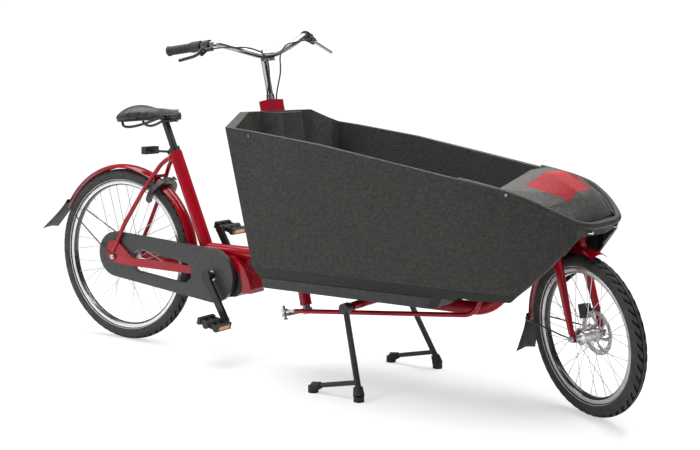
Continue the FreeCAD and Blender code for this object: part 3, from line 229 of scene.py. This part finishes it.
def bumped(material, texture_kind, output, depth, strength=1.0, stretch=(1, 1, 1), **settings):
    """Relief from one texture, on top of any relief the material already has."""
    shader = material.node_tree.nodes["Principled BSDF"]
    texture = node_of(material, texture_kind, **settings)
    place_texture(material, texture, stretch)
    bump = node_of(material, "ShaderNodeBump", Strength=strength, Distance=depth)
    wire(material, texture.outputs[output], bump.inputs["Height"])
    below = shader.inputs["Normal"].links
    if below:
        wire(material, below[0].from_socket, bump.inputs["Normal"])
    wire(material, bump.outputs["Normal"], shader.inputs["Normal"])
    return material


def axis_value(material, axis):
    """A socket that carries the object's own X, Y or Z in metres."""
    coordinates = node_of(material, "ShaderNodeTexCoord")
    parts = node_of(material, "ShaderNodeSeparateXYZ")
    wire(material, coordinates.outputs["Object"], parts.inputs["Vector"])
    return parts.outputs[axis]


def calculate(material, operation, first, *others):
    """A maths node; each input is a socket or a number."""
    made = material.node_tree.nodes.new("ShaderNodeMath")
    made.operation = operation
    for slot_index, value in enumerate((first, *others)):
        if isinstance(value, (int, float)):
            made.inputs[slot_index].default_value = value
        else:
            wire(material, value, made.inputs[slot_index])
    return made.outputs["Value"]


def painted_over(material, mask, colour):
    """Covers the base colour with another where the mask is 1."""
    target = material.node_tree.nodes["Principled BSDF"].inputs["Base Color"]
    mix = material.node_tree.nodes.new("ShaderNodeMixRGB")
    mix.inputs["Color2"].default_value = (*colour, 1)
    if target.links:
        wire(material, target.links[0].from_socket, mix.inputs["Color1"])
    else:
        mix.inputs["Color1"].default_value = target.default_value
    wire(material, mask, mix.inputs["Fac"])
    wire(material, mix.outputs["Color"], target)


def make_foam(name, dark, light):
    """Moulded foam: small beads with dark joints, painted light on faces that point up, painted shade on the inner
    side walls, and darker below the tray top.
    """
    foam = tint(principled(name, light, 0.62, Specular_IOR_Level=0.28), dark, light, 85, (1, 1, 1.4),
                0.25, 0.75)
    bumped(foam, "ShaderNodeTexVoronoi", "Distance", 0.0016, 0.5, (1, 1, 1.3), Scale=190.0)
    bumped(foam, "ShaderNodeTexNoise", "Fac", 0.0012, 0.35, Scale=42.0, Detail=3.0)
    geometry = node_of(foam, "ShaderNodeNewGeometry")
    facing = node_of(foam, "ShaderNodeSeparateXYZ")
    wire(foam, geometry.outputs["Normal"], facing.inputs["Vector"])
    # Painted light: faces that point up are made paler, as the lamp above lights them.
    painted_top_light = calculate(foam, "GREATER_THAN", facing.outputs["Z"], 0.75)
    painted_over(foam, calculate(foam, "MULTIPLY", painted_top_light, 0.2), (0.11, 0.106, 0.10))
    # Painted shade: the inner faces of the side walls are made nearly black, as the tub's inside lies in shadow.
    inward = calculate(foam, "MULTIPLY", facing.outputs["Y"], axis_value(foam, "Y"))
    painted_inner_shade = calculate(foam, "LESS_THAN", inward, -0.1)
    painted_over(foam, calculate(foam, "MULTIPLY", painted_inner_shade, 0.7), (0.006, 0.006, 0.006))
    height = axis_value(foam, "Z")
    seam = calculate(foam, "COMPARE", height, TRAY_TOP, 0.0016)
    painted_over(foam, calculate(foam, "MULTIPLY", seam, 0.8), (0.004, 0.004, 0.004))
    skirt = calculate(foam, "LESS_THAN", height, TRAY_TOP)
    painted_over(foam, calculate(foam, "MULTIPLY", skirt, 0.6), (0.008, 0.008, 0.008))
    return foam


def make_hood():
    """The nose's foam, painted paler than the box's foam for the light on its facets, with a plain red panel
    across its top and a painted highlight on the red along its top facet.
    """
    # Painted light: the same foam as the box, given paler colours for the light falling on the hood's facets.
    hood = make_foam("hood_foam", (0.030, 0.029, 0.027), (0.085, 0.083, 0.078))
    along = axis_value(hood, "X")
    across = calculate(hood, "ABSOLUTE", axis_value(hood, "Y"))
    narrowing = calculate(hood, "MULTIPLY", calculate(hood, "SUBTRACT", along, 0.887), 0.75)
    inside = calculate(hood, "LESS_THAN", across, calculate(hood, "SUBTRACT", 0.205, narrowing))
    length = calculate(hood, "COMPARE", along, 0.955, 0.052)
    panel = calculate(hood, "MULTIPLY", inside, length)
    painted_over(hood, panel, (0.24, 0.0010, 0.007))
    # Painted highlight: the red on the hood's narrow top facet is made paler, as the lamp above lights it.
    painted_top_facet_light = calculate(hood, "MULTIPLY", panel, calculate(hood, "LESS_THAN", across, 0.052))
    painted_over(hood, painted_top_facet_light, (0.30, 0.022, 0.026))
    return hood


def make_materials():
    made = {}
    made["red_paint"] = worn(principled("red_gloss_paint", (0.27, 0.0010, 0.0090), 0.24, Coat_Weight=0.55,
                                        Coat_Roughness=0.03, Specular_IOR_Level=0.1), 0.2, 0.32, 30)
    tint(made["red_paint"], (0.25, 0.0008, 0.0080), (0.29, 0.0012, 0.0100), 18)
    bumped(made["red_paint"], "ShaderNodeTexNoise", "Fac", 0.0002, 0.2, Scale=350.0, Detail=2.0)
    made["black_metal"] = worn(principled("black_powder_coat", (0.012, 0.012, 0.013), 0.4,
                                          Specular_IOR_Level=0.4), 0.3, 0.5, 60)
    tint(made["black_metal"], (0.008, 0.008, 0.009), (0.018, 0.018, 0.019), 90)
    bumped(made["black_metal"], "ShaderNodeTexNoise", "Fac", 0.0002, 0.4, Scale=900.0, Detail=2.0)
    made["black_plastic"] = worn(principled("black_moulded_plastic", (0.014, 0.014, 0.015), 0.45,
                                            Specular_IOR_Level=0.4), 0.36, 0.55, 40)
    tint(made["black_plastic"], (0.010, 0.010, 0.011), (0.020, 0.020, 0.021), 60)
    bumped(made["black_plastic"], "ShaderNodeTexNoise", "Fac", 0.0002, 0.5, Scale=1100.0, Detail=2.0)
    made["box_foam"] = make_foam("speckled_foam", (0.010, 0.0095, 0.0083), (0.040, 0.038, 0.034))
    made["case_plastic"] = tint(worn(principled("case_plastic", (0.03, 0.03, 0.031), 0.42,
                                                Specular_IOR_Level=0.45), 0.34, 0.5, 40),
                                (0.022, 0.022, 0.023), (0.036, 0.036, 0.037), 60)
    bumped(made["case_plastic"], "ShaderNodeTexNoise", "Fac", 0.0002, 0.5, Scale=1100.0, Detail=2.0)
    made["hood"] = make_hood()
    made["black_rubber"] = worn(principled("black_rubber", (0.014, 0.014, 0.014), 0.6,
                                           Specular_IOR_Level=0.35), 0.5, 0.75, 50)
    tint(made["black_rubber"], (0.010, 0.010, 0.010), (0.022, 0.022, 0.021), 70)
    bumped(made["black_rubber"], "ShaderNodeTexNoise", "Fac", 0.0002, 0.5, Scale=800.0, Detail=2.0)
    vinyl = worn(principled("saddle_vinyl", (0.016, 0.016, 0.017), 0.45, Specular_IOR_Level=0.45),
                 0.36, 0.55, 40)
    tint(vinyl, (0.012, 0.012, 0.013), (0.022, 0.022, 0.023), 50)
    bumped(vinyl, "ShaderNodeTexVoronoi", "Distance", 0.0004, 0.6, Scale=650.0)
    seam_line = calculate(vinyl, "COMPARE", axis_value(vinyl, "Z"), 0.8560, 0.0009)
    painted_over(vinyl, seam_line, (0.05, 0.05, 0.05))
    made["saddle_vinyl"] = vinyl
    made["tyre_rubber"] = tint(worn(principled("tyre_rubber", (0.03, 0.03, 0.03), 0.7,
                                               Specular_IOR_Level=0.3), 0.6, 0.8, 50),
                               (0.022, 0.022, 0.021), (0.040, 0.039, 0.037), 40)
    bumped(made["tyre_rubber"], "ShaderNodeTexNoise", "Fac", 0.0002, 0.4, Scale=500.0, Detail=2.0)
    # Painted shade: near-black rubber for the faces cut into the tread, as the grooves lie in shadow.
    made["painted_groove_shade"] = tint(principled("painted_groove_shade", (0.004, 0.004, 0.004), 0.85,
                                            Specular_IOR_Level=0.1),
                                 (0.003, 0.003, 0.003), (0.006, 0.006, 0.006), 60)
    made["sidewall_line"] = tint(principled("reflective_line", (0.6, 0.6, 0.58), 0.4),
                                 (0.42, 0.42, 0.41), (0.62, 0.62, 0.6), 200)
    made["rim_black"] = worn(principled("black_anodised", (0.012, 0.012, 0.013), 0.2,
                                        Coat_Weight=0.4), 0.15, 0.3, 60)
    made["silver_alloy"] = worn(principled("silver_alloy", (0.66, 0.66, 0.68), 0.28, 1.0), 0.2, 0.38, 80)
    made["bar_alloy"] = worn(principled("bar_alloy", (0.30, 0.30, 0.315), 0.22, 1.0), 0.16, 0.3, 80)
    made["chrome"] = worn(principled("polished_chrome", (0.82, 0.82, 0.84), 0.08, 1.0), 0.05, 0.14, 60)
    made["steel"] = worn(principled("brushed_steel", (0.5, 0.5, 0.52), 0.32, 1.0), 0.24, 0.42, 90)
    bumped(made["steel"], "ShaderNodeTexNoise", "Fac", 0.0001, 0.3, Scale=700.0, Detail=2.0)
    made["amber"] = worn(principled("amber_reflector", (0.75, 0.22, 0.01), 0.15, Coat_Weight=0.6),
                         0.1, 0.25, 90)
    bumped(made["amber"], "ShaderNodeTexVoronoi", "Distance", 0.0006, 0.7, Scale=420.0)
    made["red_lens"] = worn(principled("red_lens", (0.35, 0.004, 0.004), 0.12, Coat_Weight=0.6),
                            0.08, 0.2, 90)
    bumped(made["red_lens"], "ShaderNodeTexVoronoi", "Distance", 0.0006, 0.7, Scale=420.0)
    made["grey_patch"] = tint(principled("grey_vinyl", (0.3, 0.3, 0.3), 0.5), (0.22, 0.22, 0.22),
                              (0.32, 0.32, 0.31), 120)
    return made


# ---------------------------------------------------------------- CAD nodes

def finish_mesh(shape, mesh, sharp):
    """Writes a bmesh into a mesh, smooth except across edges sharper than the angle."""
    for face in shape.faces:
        face.smooth = True
    shape.to_mesh(mesh)
    shape.free()
    mesh.set_sharp_from_angle(angle=math.radians(sharp))


def ease(piece, width, sharp=EDGE_ANGLE):
    easing = piece.modifiers.new("easing", "BEVEL")
    easing.width = width
    easing.segments = 3
    easing.limit_method = "ANGLE"
    easing.angle_limit = math.radians(sharp)
    easing.harden_normals = True
    easing.use_clamp_overlap = True


def dress(node, material, bevel=0.0):
    """A finished copy of a CAD node: joined faces, eased edges and smooth round stretches."""
    mesh = frame["nodes"][node].data.copy()
    mesh.materials.clear()
    mesh.materials.append(material)
    shape = bmesh.new()
    shape.from_mesh(mesh)
    bmesh.ops.remove_doubles(shape, verts=shape.verts, dist=1e-6)
    bmesh.ops.dissolve_limit(shape, angle_limit=math.radians(0.8), verts=shape.verts, edges=shape.edges)
    for face in shape.faces:
        face.material_index = 0
    finish_mesh(shape, mesh, EDGE_ANGLE)
    piece = bpy.data.objects.new(node + "_finished", mesh)
    bpy.context.scene.collection.objects.link(piece)
    if bevel:
        ease(piece, bevel)
    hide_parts(node)
    if node == "control_cables":
        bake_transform(piece)
    else:
        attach(piece, BODY_OF[node])
    return piece


def new_piece(name, points, faces, materials, indices=None, sharp=EDGE_ANGLE):
    """A piece from points and faces; indices gives each face's material."""
    mesh = bpy.data.meshes.new(name)
    mesh.from_pydata([tuple(point) for point in points], [], faces)
    for material in materials:
        mesh.materials.append(material)
    if indices:
        for polygon, index in zip(mesh.polygons, indices):
            polygon.material_index = index
    shape = bmesh.new()
    shape.from_mesh(mesh)
    bmesh.ops.recalc_face_normals(shape, faces=shape.faces)
    finish_mesh(shape, mesh, sharp)
    piece = bpy.data.objects.new(name, mesh)
    bpy.context.scene.collection.objects.link(piece)
    return piece


def stand_for(piece, node):
    """The piece takes a CAD node's place and body: the node is hidden and the piece joins its body."""
    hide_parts(node)
    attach(piece, BODY_OF[node])


def along_axis(point, axis):
    """The place whose Z runs along an axis from a point."""
    return Matrix.Translation(point) @ Z_AXIS.rotation_difference(Vector(axis)).to_matrix().to_4x4()


def around(rings, steps, place):
    """Points and faces of closed sections of (radius, height) turned about Z; rings(step) gives one."""
    points, faces = [], []
    count = len(rings(0))
    for step in range(steps):
        angle = TURN * step / steps
        for radius, height in rings(step):
            points.append(place @ Vector((radius * math.cos(angle), radius * math.sin(angle), height)))
    for step in range(steps):
        after = (step + 1) % steps
        for index in range(count):
            ahead = (index + 1) % count
            faces.append((step * count + index, step * count + ahead, after * count + ahead,
                          after * count + index))
    return points, faces


# ---------------------------------------------------------------- wheels

def grooved(step, lean):
    """Whether the tread is cut away here: a line beside the middle rib and slanted cuts beyond it."""
    return lean < 13 or (step + int(lean // 9)) % STEPS_PER_BLOCK in (0, 1)


def tyre_ring(step, angles, centre, section):
    """One section of a tyre: a rib in the middle, chevron blocks each side and a plain sidewall."""
    ring = []
    tread_depth = 0.0026
    for angle in angles:
        lean = abs(angle)
        depth = 0.0
        if 8 < lean < 50 and grooved(step, lean):
            depth = tread_depth
        elif lean >= 50:
            depth = 0.0006
        reach = section - depth
        turn = math.radians(angle)
        ring.append((centre + reach * math.cos(turn), reach * math.sin(turn)))
    return ring


def make_wheel(end, place, centre, section, line_angle, blocks, rim_outer):
    """Tyre and rim of one wheel."""
    bead_angle = 142
    side = [56, 64, 74, 86, 98, 110, 122, line_angle - 2.4, line_angle + 2.4, bead_angle]
    tread = list(range(-52, 53, 4))
    angles = [-angle for angle in reversed(side)] + tread + side
    steps = blocks * STEPS_PER_BLOCK
    points, faces = around(lambda step: tyre_ring(step, angles, centre, section), steps, place)
    line_rows = {1, len(angles) - 3}
    count = len(angles)
    indices = []
    for index in range(len(faces)):
        row, step = index % count, index // count
        centre_angle = (angles[row] + angles[(row + 1) % count]) / 2 if row < count - 1 else 180
        if row in line_rows:
            indices.append(1)
        # Painted shade: faces cut into the tread take the near-black groove material.
        elif 8 < abs(centre_angle) < 52 and grooved(step, abs(centre_angle)):
            indices.append(2)
        else:
            indices.append(0)
    tyre = new_piece(end + "_tyre_tread", points, faces,
                     [MATERIALS["tyre_rubber"], MATERIALS["sidewall_line"], MATERIALS["painted_groove_shade"]],
                     indices, 24)
    stand_for(tyre, end + "_tyre")

    outer = rim_outer
    profile = [(outer - 0.002, 0.0125), (outer - 0.011, 0.0125), (outer - 0.0135, 0.0118),
               (outer - 0.0185, 0.008), (outer - 0.020, 0.004), (outer - 0.020, -0.004),
               (outer - 0.0185, -0.008), (outer - 0.0135, -0.0118), (outer - 0.011, -0.0125),
               (outer - 0.002, -0.0125), (outer, -0.011), (outer - 0.004, 0), (outer, 0.011)]
    points, faces = around(lambda step: profile, 144, place)
    black_rows = {2, 3, 4, 5, 6}
    indices = [1 if index % len(profile) in black_rows else 0 for index in range(len(faces))]
    rim = new_piece(end + "_rim_banded", points, faces,
                    [MATERIALS["silver_alloy"], MATERIALS["rim_black"]], indices, 24)
    stand_for(rim, end + "_rim")


def make_rotor(place):
    """The brake disc: a drilled, wavy band on six swept arms."""
    radii = [0.0215, 0.026, 0.030, 0.036, 0.042, 0.048, 0.054, 0.057, 0.0595, 0.062, 0.065, 0.0695]
    steps = 144
    points, faces = [], []
    for step in range(steps):
        angle = TURN * step / steps
        for row, radius in enumerate(radii):
            wave = 0.0007 * math.cos(12 * angle) if row == len(radii) - 1 else 0.0
            points.append(place @ Vector(((radius + wave - 0.0002) * math.cos(angle),
                                          (radius + wave - 0.0002) * math.sin(angle), 0.037)))
    for step in range(steps):
        after = (step + 1) % steps
        for row in range(len(radii) - 1):
            arm = (step + 2 * row) % 24 < 6
            hole = row in (7, 8, 9) and (step + 2 * row) % 8 in (0, 1)
            if (1 <= row <= 5 and not arm) or hole:
                continue
            count = len(radii)
            faces.append((step * count + row, step * count + row + 1, after * count + row + 1,
                          after * count + row))
    rotor = new_piece("brake_disc_drilled", points, faces, [MATERIALS["steel"]])
    thickness = rotor.modifiers.new("thickness", "SOLIDIFY")
    thickness.thickness = 0.0018
    thickness.offset = 0
    stand_for(rotor, "brake_disc")


def make_mudflap(end, place, radius, first, last, reach_out, wide_end):
    """A rubber flap that bends away from the wheel and widens sideways like a fish's tail."""
    rows, columns, thick = 14, 12, 0.0024
    points = []
    for layer in (0, 1):
        for row in range(rows + 1):
            share = row / rows
            angle = -math.radians(first + (last - first) * share)
            half = 0.026 + (wide_end - 0.026) * share ** 1.6
            for column in range(columns + 1):
                across = 2 * column / columns - 1
                notch = 0.006 * share ** 3 * (1 - abs(across))
                cupped = 0.004 * across * across * share
                distance = radius + reach_out * share * share + thick * layer + cupped
                turn = angle + notch / radius
                points.append(place @ Vector((distance * math.cos(turn), distance * math.sin(turn),
                                              half * across)))
    flap = new_piece(end + "_mudflap_flared", points, sheet_faces(rows, columns),
                     [MATERIALS["black_rubber"]], sharp=50)
    ease(flap, 0.0006, 50)
    stand_for(flap, end + "_mudflap")


def make_wheels():
    """Both wheels, the brake disc and the flaps of the two mudguards."""
    rear = along_axis(REAR_AXLE, (0, 1, 0))
    front_axis = JOINTS["front_wheel_spin"]["axis"]
    front = along_axis(FRONT_AXLE, front_axis)
    make_wheel("rear", rear, 0.3055, 0.024, 133.4, 62, 0.287)
    make_wheel("front", front, 0.2285, 0.0235, 134.6, 47, 0.210)
    make_rotor(front)
    make_mudflap("rear", rear, 0.3483, 146, 170, 0.068, 0.041)
    upright = Matrix.Translation(FRONT_AXLE) @ STEERED @ Matrix.Rotation(-math.pi / 2, 4, "X")
    make_mudflap("front", upright, 0.2713, 165, 189, 0.066, 0.038)


# ---------------------------------------------------------------- saddle

SADDLE_OUTLINE = [(0.0, 0.008), (0.03, 0.012), (0.12, 0.0165), (0.35, 0.022), (0.48, 0.032), (0.58, 0.049),
                  (0.68, 0.070), (0.78, 0.087), (0.88, 0.094), (0.95, 0.088), (0.99, 0.07), (1.0, 0.058)]


def half_width(share):
    """Half the saddle's width at a share of its length from the nose."""
    for (first, narrow), (second, wide) in zip(SADDLE_OUTLINE, SADDLE_OUTLINE[1:]):
        if share <= second:
            blend = (share - first) / (second - first)
            blend = blend * blend * (3 - 2 * blend)
            return narrow + (wide - narrow) * blend
    return SADDLE_OUTLINE[-1][1]


def saddle_skirt(share):
    """Height of the cover's lower edge at a share of its length from the nose; it arches over the clamp."""
    arch = max(0.0, 1 - ((share - 0.29) / 0.17) ** 2)
    return 0.858 - 0.013 * min(1.0, half_width(share) / SADDLE_WIDEST) + 0.013 * arch


def saddle_section(share):
    """One closed section: a crowned top that falls at both ends, a deep side and a shallow underside."""
    half = half_width(share)
    wide = min(1.0, half / SADDLE_WIDEST)
    tail = max(0.0, (share - 0.76) / 0.24)
    tip = max(0.0, (0.14 - share) / 0.14)
    rise = min(1.0, max(0.0, (share - 0.42) / 0.33))
    peak = 0.892 + 0.010 * rise * rise * (3 - 2 * rise) - 0.016 * tail * tail - 0.008 * tip * tip
    drop = 0.011 + 0.022 * wide
    skirt = saddle_skirt(share)
    top = [(across, max(peak - drop * abs(across) ** 2.1, skirt + 0.007))
           for across in [1 - index / 8 for index in range(17)]]
    under = [(across, skirt + 0.004 * (1 - abs(across) ** 4))
             for across in [-0.97 + index * 1.94 / 12 for index in range(13)]]
    return [(half * across, height) for across, height in top + under]


def make_saddle():
    """A stuffed cover: a crowned closed form, inflated by a cloth simulation and capped."""
    rows = 46
    points, faces = [], []
    for row in range(rows + 1):
        share = row / rows
        for across, height in saddle_section(share):
            points.append((SADDLE_NOSE - SADDLE_LENGTH * share, across, height))
    count = len(saddle_section(0))
    for row in range(rows):
        for index in range(count):
            ahead = (index + 1) % count
            faces.append((row * count + index, row * count + ahead, (row + 1) * count + ahead,
                          (row + 1) * count + index))
    faces.append(tuple(range(count)))
    faces.append(tuple(rows * count + index for index in range(count)))
    saddle = new_piece("saddle_cushion", points, faces, [MATERIALS["saddle_vinyl"]], sharp=60)
    remesh = saddle.modifiers.new("even", "REMESH")
    remesh.mode = "VOXEL"
    remesh.voxel_size = 0.0034
    apply_all(saddle)
    inflate(saddle, 0.0025)
    soften = saddle.modifiers.new("soften", "SMOOTH")
    soften.factor = 0.5
    soften.iterations = 14
    finer = saddle.modifiers.new("finer", "SUBSURF")
    finer.levels = 1
    finer.render_levels = 1
    apply_all(saddle)
    for polygon in saddle.data.polygons:
        polygon.use_smooth = True
    stand_for(saddle, "saddle_cover")
    patch_on_nose()


def make_saddle_shell():
    """The moulded plate that closes the underside of the cushion, a little inside its edge."""
    rows, columns = 40, 10
    inset = 0.004
    points = []
    for layer in (0.004, -0.0015):
        for row in range(rows + 1):
            share = row / rows
            for column in range(columns + 1):
                across = 2 * column / columns - 1
                height = saddle_skirt(share) + layer - 0.0015 * across * across
                along = SADDLE_NOSE - inset - (SADDLE_LENGTH - 2 * inset) * share
                points.append((along, 0.93 * half_width(share) * across, height))
    shell = new_piece("saddle_shell_moulded", points, sheet_faces(rows, columns),
                      [MATERIALS["black_plastic"]], sharp=50)
    ease(shell, 0.0008, 50)
    stand_for(shell, "saddle_shell")


def sheet_faces(rows, columns):
    """Faces of a thin sheet of two layers of rows x columns cells, with its edges closed."""
    stride = columns + 1
    layer_size = (rows + 1) * stride
    faces = []
    for layer in (0, 1):
        for row in range(rows):
            for column in range(columns):
                base = layer * layer_size + row * stride + column
                faces.append((base, base + 1, base + stride + 1, base + stride))
    edge = list(range(columns))
    edge += [row * stride + columns for row in range(rows)]
    edge += [rows * stride + column for column in range(columns, 0, -1)]
    edge += [row * stride for row in range(rows, 0, -1)]
    for index, here in enumerate(edge):
        there = edge[(index + 1) % len(edge)]
        faces.append((here, there, there + layer_size, here + layer_size))
    return faces


def apply_all(piece):
    """Bakes a piece's modifiers into its mesh."""
    graph = bpy.context.evaluated_depsgraph_get()
    baked = bpy.data.meshes.new_from_object(piece.evaluated_get(graph))
    piece.modifiers.clear()
    piece.data = baked


def inflate(piece, cap):
    """Swells a closed mesh with the cloth solver; no point moves further than the cap."""
    before = [vertex.co.copy() for vertex in piece.data.vertices]
    cloth = piece.modifiers.new("swell", "CLOTH")
    cloth.settings.use_pressure = True
    cloth.settings.uniform_pressure_force = 4.0
    cloth.settings.mass = 0.3
    cloth.settings.tension_stiffness = 30
    cloth.settings.compression_stiffness = 30
    cloth.settings.bending_stiffness = 4
    cloth.settings.effector_weights.gravity = 0
    cloth.point_cache.frame_start = 1
    cloth.point_cache.frame_end = SWELL_FRAMES
    scene = bpy.context.scene
    for moment in range(1, SWELL_FRAMES + 1):
        scene.frame_set(moment)
    apply_all(piece)
    for vertex, start in zip(piece.data.vertices, before):
        move = vertex.co - start
        if move.length > cap:
            vertex.co = start + move * (cap / move.length)
    scene.frame_set(1)


def patch_on_nose():
    """The small pale diamond sewn on the saddle's nose."""
    outline = [(-0.574, 0), (-0.587, -0.0075), (-0.605, 0), (-0.587, 0.0075)]
    points = [(x, y, z) for z in (0.8870, 0.8925) for x, y in outline]
    faces = [(0, 1, 2, 3), (4, 5, 6, 7), (0, 1, 5, 4), (1, 2, 6, 5), (2, 3, 7, 6), (3, 0, 4, 7)]
    patch = new_piece("saddle_patch", points, faces, [MATERIALS["grey_patch"]])
    ease(patch, 0.001)
    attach(patch, "saddle")


# ---------------------------------------------------------------- grips, reflectors and lens

COLUMN_PLACE = Matrix.Translation(COLUMN_TOP) @ STEERED


def grip_place(side):
    """The last bend of the handlebar, with Z out along the grip."""
    bend = Vector((0.010, side * 0.164, 0.205))
    end = Vector((-0.178, side * 0.274, 0.225))
    start = COLUMN_PLACE @ bend
    return along_axis(start, (COLUMN_PLACE @ end) - start)


def make_grips():
    """Flared rubber grips with rings, one mesh for both."""
    points, faces = [], []
    for side, first in ((1, 0.074), (-1, 0.112)):
        last = GRIP_END
        ring = [(0.0112, first), (0.0175, first), (0.0182, first + 0.002), (0.0182, first + 0.005),
                (0.0158, first + 0.009)]
        grooves = 13
        for index in range(grooves):
            middle = first + 0.014 + (last - first - 0.030) * index / (grooves - 1)
            ring += [(0.0158, middle - 0.0028), (0.0149, middle - 0.0018), (0.0149, middle + 0.0018),
                     (0.0158, middle + 0.0028)]
        ring += [(0.0160, last - 0.012), (0.0176, last - 0.008), (0.0176, last - 0.002), (0.015, last),
                 (0.0005, last), (0.0005, last - 0.002), (0.0112, last - 0.002)]
        new_points, new_faces = around(lambda step: ring, 48, grip_place(side))
        base = len(points)
        points += new_points
        faces += [tuple(index + base for index in face) for face in new_faces]
    grips = new_piece("grips_ribbed", points, faces, [MATERIALS["black_rubber"]], sharp=40)
    stand_for(grips, "grips")


def rounded_plate(name, place, size, material, body, domed=0.0):
    """A small plate with eased edges and a slightly domed face."""
    columns, rows = 8, 4
    half_x, half_y, thick = size[0] / 2, size[1] / 2, size[2]
    points = []
    for layer in (0, 1):
        for column in range(columns + 1):
            for row in range(rows + 1):
                across, up = 2 * column / columns - 1, 2 * row / rows - 1
                rise = thick * layer + domed * layer * (1 - across * across) * (1 - up * up)
                points.append(place @ Vector((half_x * across, half_y * up, rise)))
    plate = new_piece(name, points, sheet_faces(columns, rows), [material])
    ease(plate, 0.0006, 50)
    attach(plate, body)


def make_reflectors():
    """Amber plates on the pedals' ends and the red lens of the rear light."""
    for end, side, turn_to in (("right", -1, 1), ("left", 1, -1)):
        lean = math.radians(30)
        tip = CRANK_CENTRE + Vector((math.sin(lean), 0, -math.cos(lean))) * (CRANK_LENGTH * turn_to)
        pedal = Matrix.Translation(tip) @ Matrix.Rotation(math.radians(14), 4, "Y")
        for label, way in (("ahead", 1), ("behind", -1)):
            face = pedal @ Matrix.Translation((way * 0.0451, side * 0.1535, 0)) \
                @ Matrix.Rotation(way * math.pi / 2, 4, "Y") @ Matrix.Rotation(math.pi / 2, 4, "Z")
            rounded_plate(f"{end}_reflector_{label}", face, (0.058, 0.013, 0.0016), MATERIALS["amber"],
                          f"{end}_pedal_body", 0.0004)
    lens = Matrix.Translation((-0.7310, 0, 0.736)) @ Matrix.Rotation(-math.pi / 2, 4, "Y") \
        @ Matrix.Rotation(math.pi / 2, 4, "Z")
    rounded_plate("rear_lens", lens, (0.060, 0.021, 0.0015), MATERIALS["red_lens"], "frame",
                  0.002)


# ---------------------------------------------------------------- rolls and wires

def rolled(name, route, radius, material, body):
    """A round roll or wire along a smooth route."""
    curve = bpy.data.curves.new(name, "CURVE")
    curve.dimensions = "3D"
    curve.bevel_depth = radius
    curve.bevel_resolution = 5
    curve.use_fill_caps = True
    line = curve.splines.new("NURBS")
    line.points.add(len(route) - 1)
    for point, place in zip(line.points, route):
        point.co = (*place, 1)
    line.order_u = 3
    line.use_endpoint_u = True
    pattern = bpy.data.objects.new(name + "_pattern", curve)
    bpy.context.scene.collection.objects.link(pattern)
    graph = bpy.context.evaluated_depsgraph_get()
    mesh = bpy.data.meshes.new_from_object(pattern.evaluated_get(graph))
    bpy.data.objects.remove(pattern)
    mesh.materials.clear()
    mesh.materials.append(material)
    for polygon in mesh.polygons:
        polygon.use_smooth = True
    piece = bpy.data.objects.new(name, mesh)
    bpy.context.scene.collection.objects.link(piece)
    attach(piece, body)


def make_nose_lip():
    """The rounded roll of foam along the front edge of the nose."""
    half = [(0.737, -0.297, 0.722), (0.889, -0.287, 0.697), (0.984, -0.240, 0.650), (1.052, -0.168, 0.603),
            (1.077, -0.100, 0.594), (1.080, 0, 0.592)]
    route = half + [(x, -y, z) for x, y, z in reversed(half[:-1])]
    rolled("nose_lip", route, 0.011, MATERIALS["box_foam"], "frame")


def make_saddle_loops():
    """The wire loops under the saddle: two that hang at the rear and a small one ahead."""
    for side, label in ((1, "left"), (-1, "right")):
        route = [(-0.645, side * 0.020, 0.862), (-0.700, side * 0.038, 0.838), (-0.772, side * 0.062, 0.820),
                 (-0.806, side * 0.060, 0.830), (-0.804, side * 0.052, 0.850)]
        rolled(f"saddle_loop_{label}", route, 0.005, MATERIALS["black_metal"], "saddle")
    ahead = [(-0.650, 0.019, 0.856), (-0.610, 0.017, 0.846), (-0.588, 0.010, 0.850), (-0.586, 0, 0.856)]
    rolled("saddle_front_loop", ahead + [(x, -y, z) for x, y, z in reversed(ahead[:-1])], 0.0035,
           MATERIALS["black_metal"], "saddle")


# ---------------------------------------------------------------- build

MATERIALS = make_materials()
make_camera()
make_studio()
OWN_PIECES = {"rear_tyre", "front_tyre", "rear_rim", "front_rim", "brake_disc", "saddle_cover",
              "saddle_shell", "grips", "rear_mudflap", "front_mudflap"}
BEVELS = {"cargo_box": 0.006, "nose_hood": 0.004, "chaincase": 0.0028, "motor_unit": 0.005,
          "motor_cradle": 0.004, "box_tray": 0.004, "rear_light": 0.002, "column_housing": 0.0025,
          "crankset": 0.002, "right_pedal": 0.001, "left_pedal": 0.001, "rear_stays": 0.0015,
          "saddle_rails": 0.001, "lock_ring": 0.0015, "brake_caliper": 0.0015, "fork": 0.002,
          "stand_feet": 0.003, "gear_shifter": 0.0015}
SPECIAL = {"nose_hood": "hood", "chaincase": "case_plastic", "handlebar": "bar_alloy",
           "handlebar_stem": "bar_alloy", "steering_column": "bar_alloy", "left_brake_lever": "bar_alloy"}
for node_name, slot_name in SLOTS.items():
    if node_name not in OWN_PIECES:
        finish = MATERIALS[SPECIAL.get(node_name, slot_name)]
        dress(node_name, finish, BEVELS.get(node_name, 0.0))
make_wheels()
make_saddle()
make_saddle_shell()
make_grips()
make_reflectors()
make_nose_lip()
make_saddle_loops()
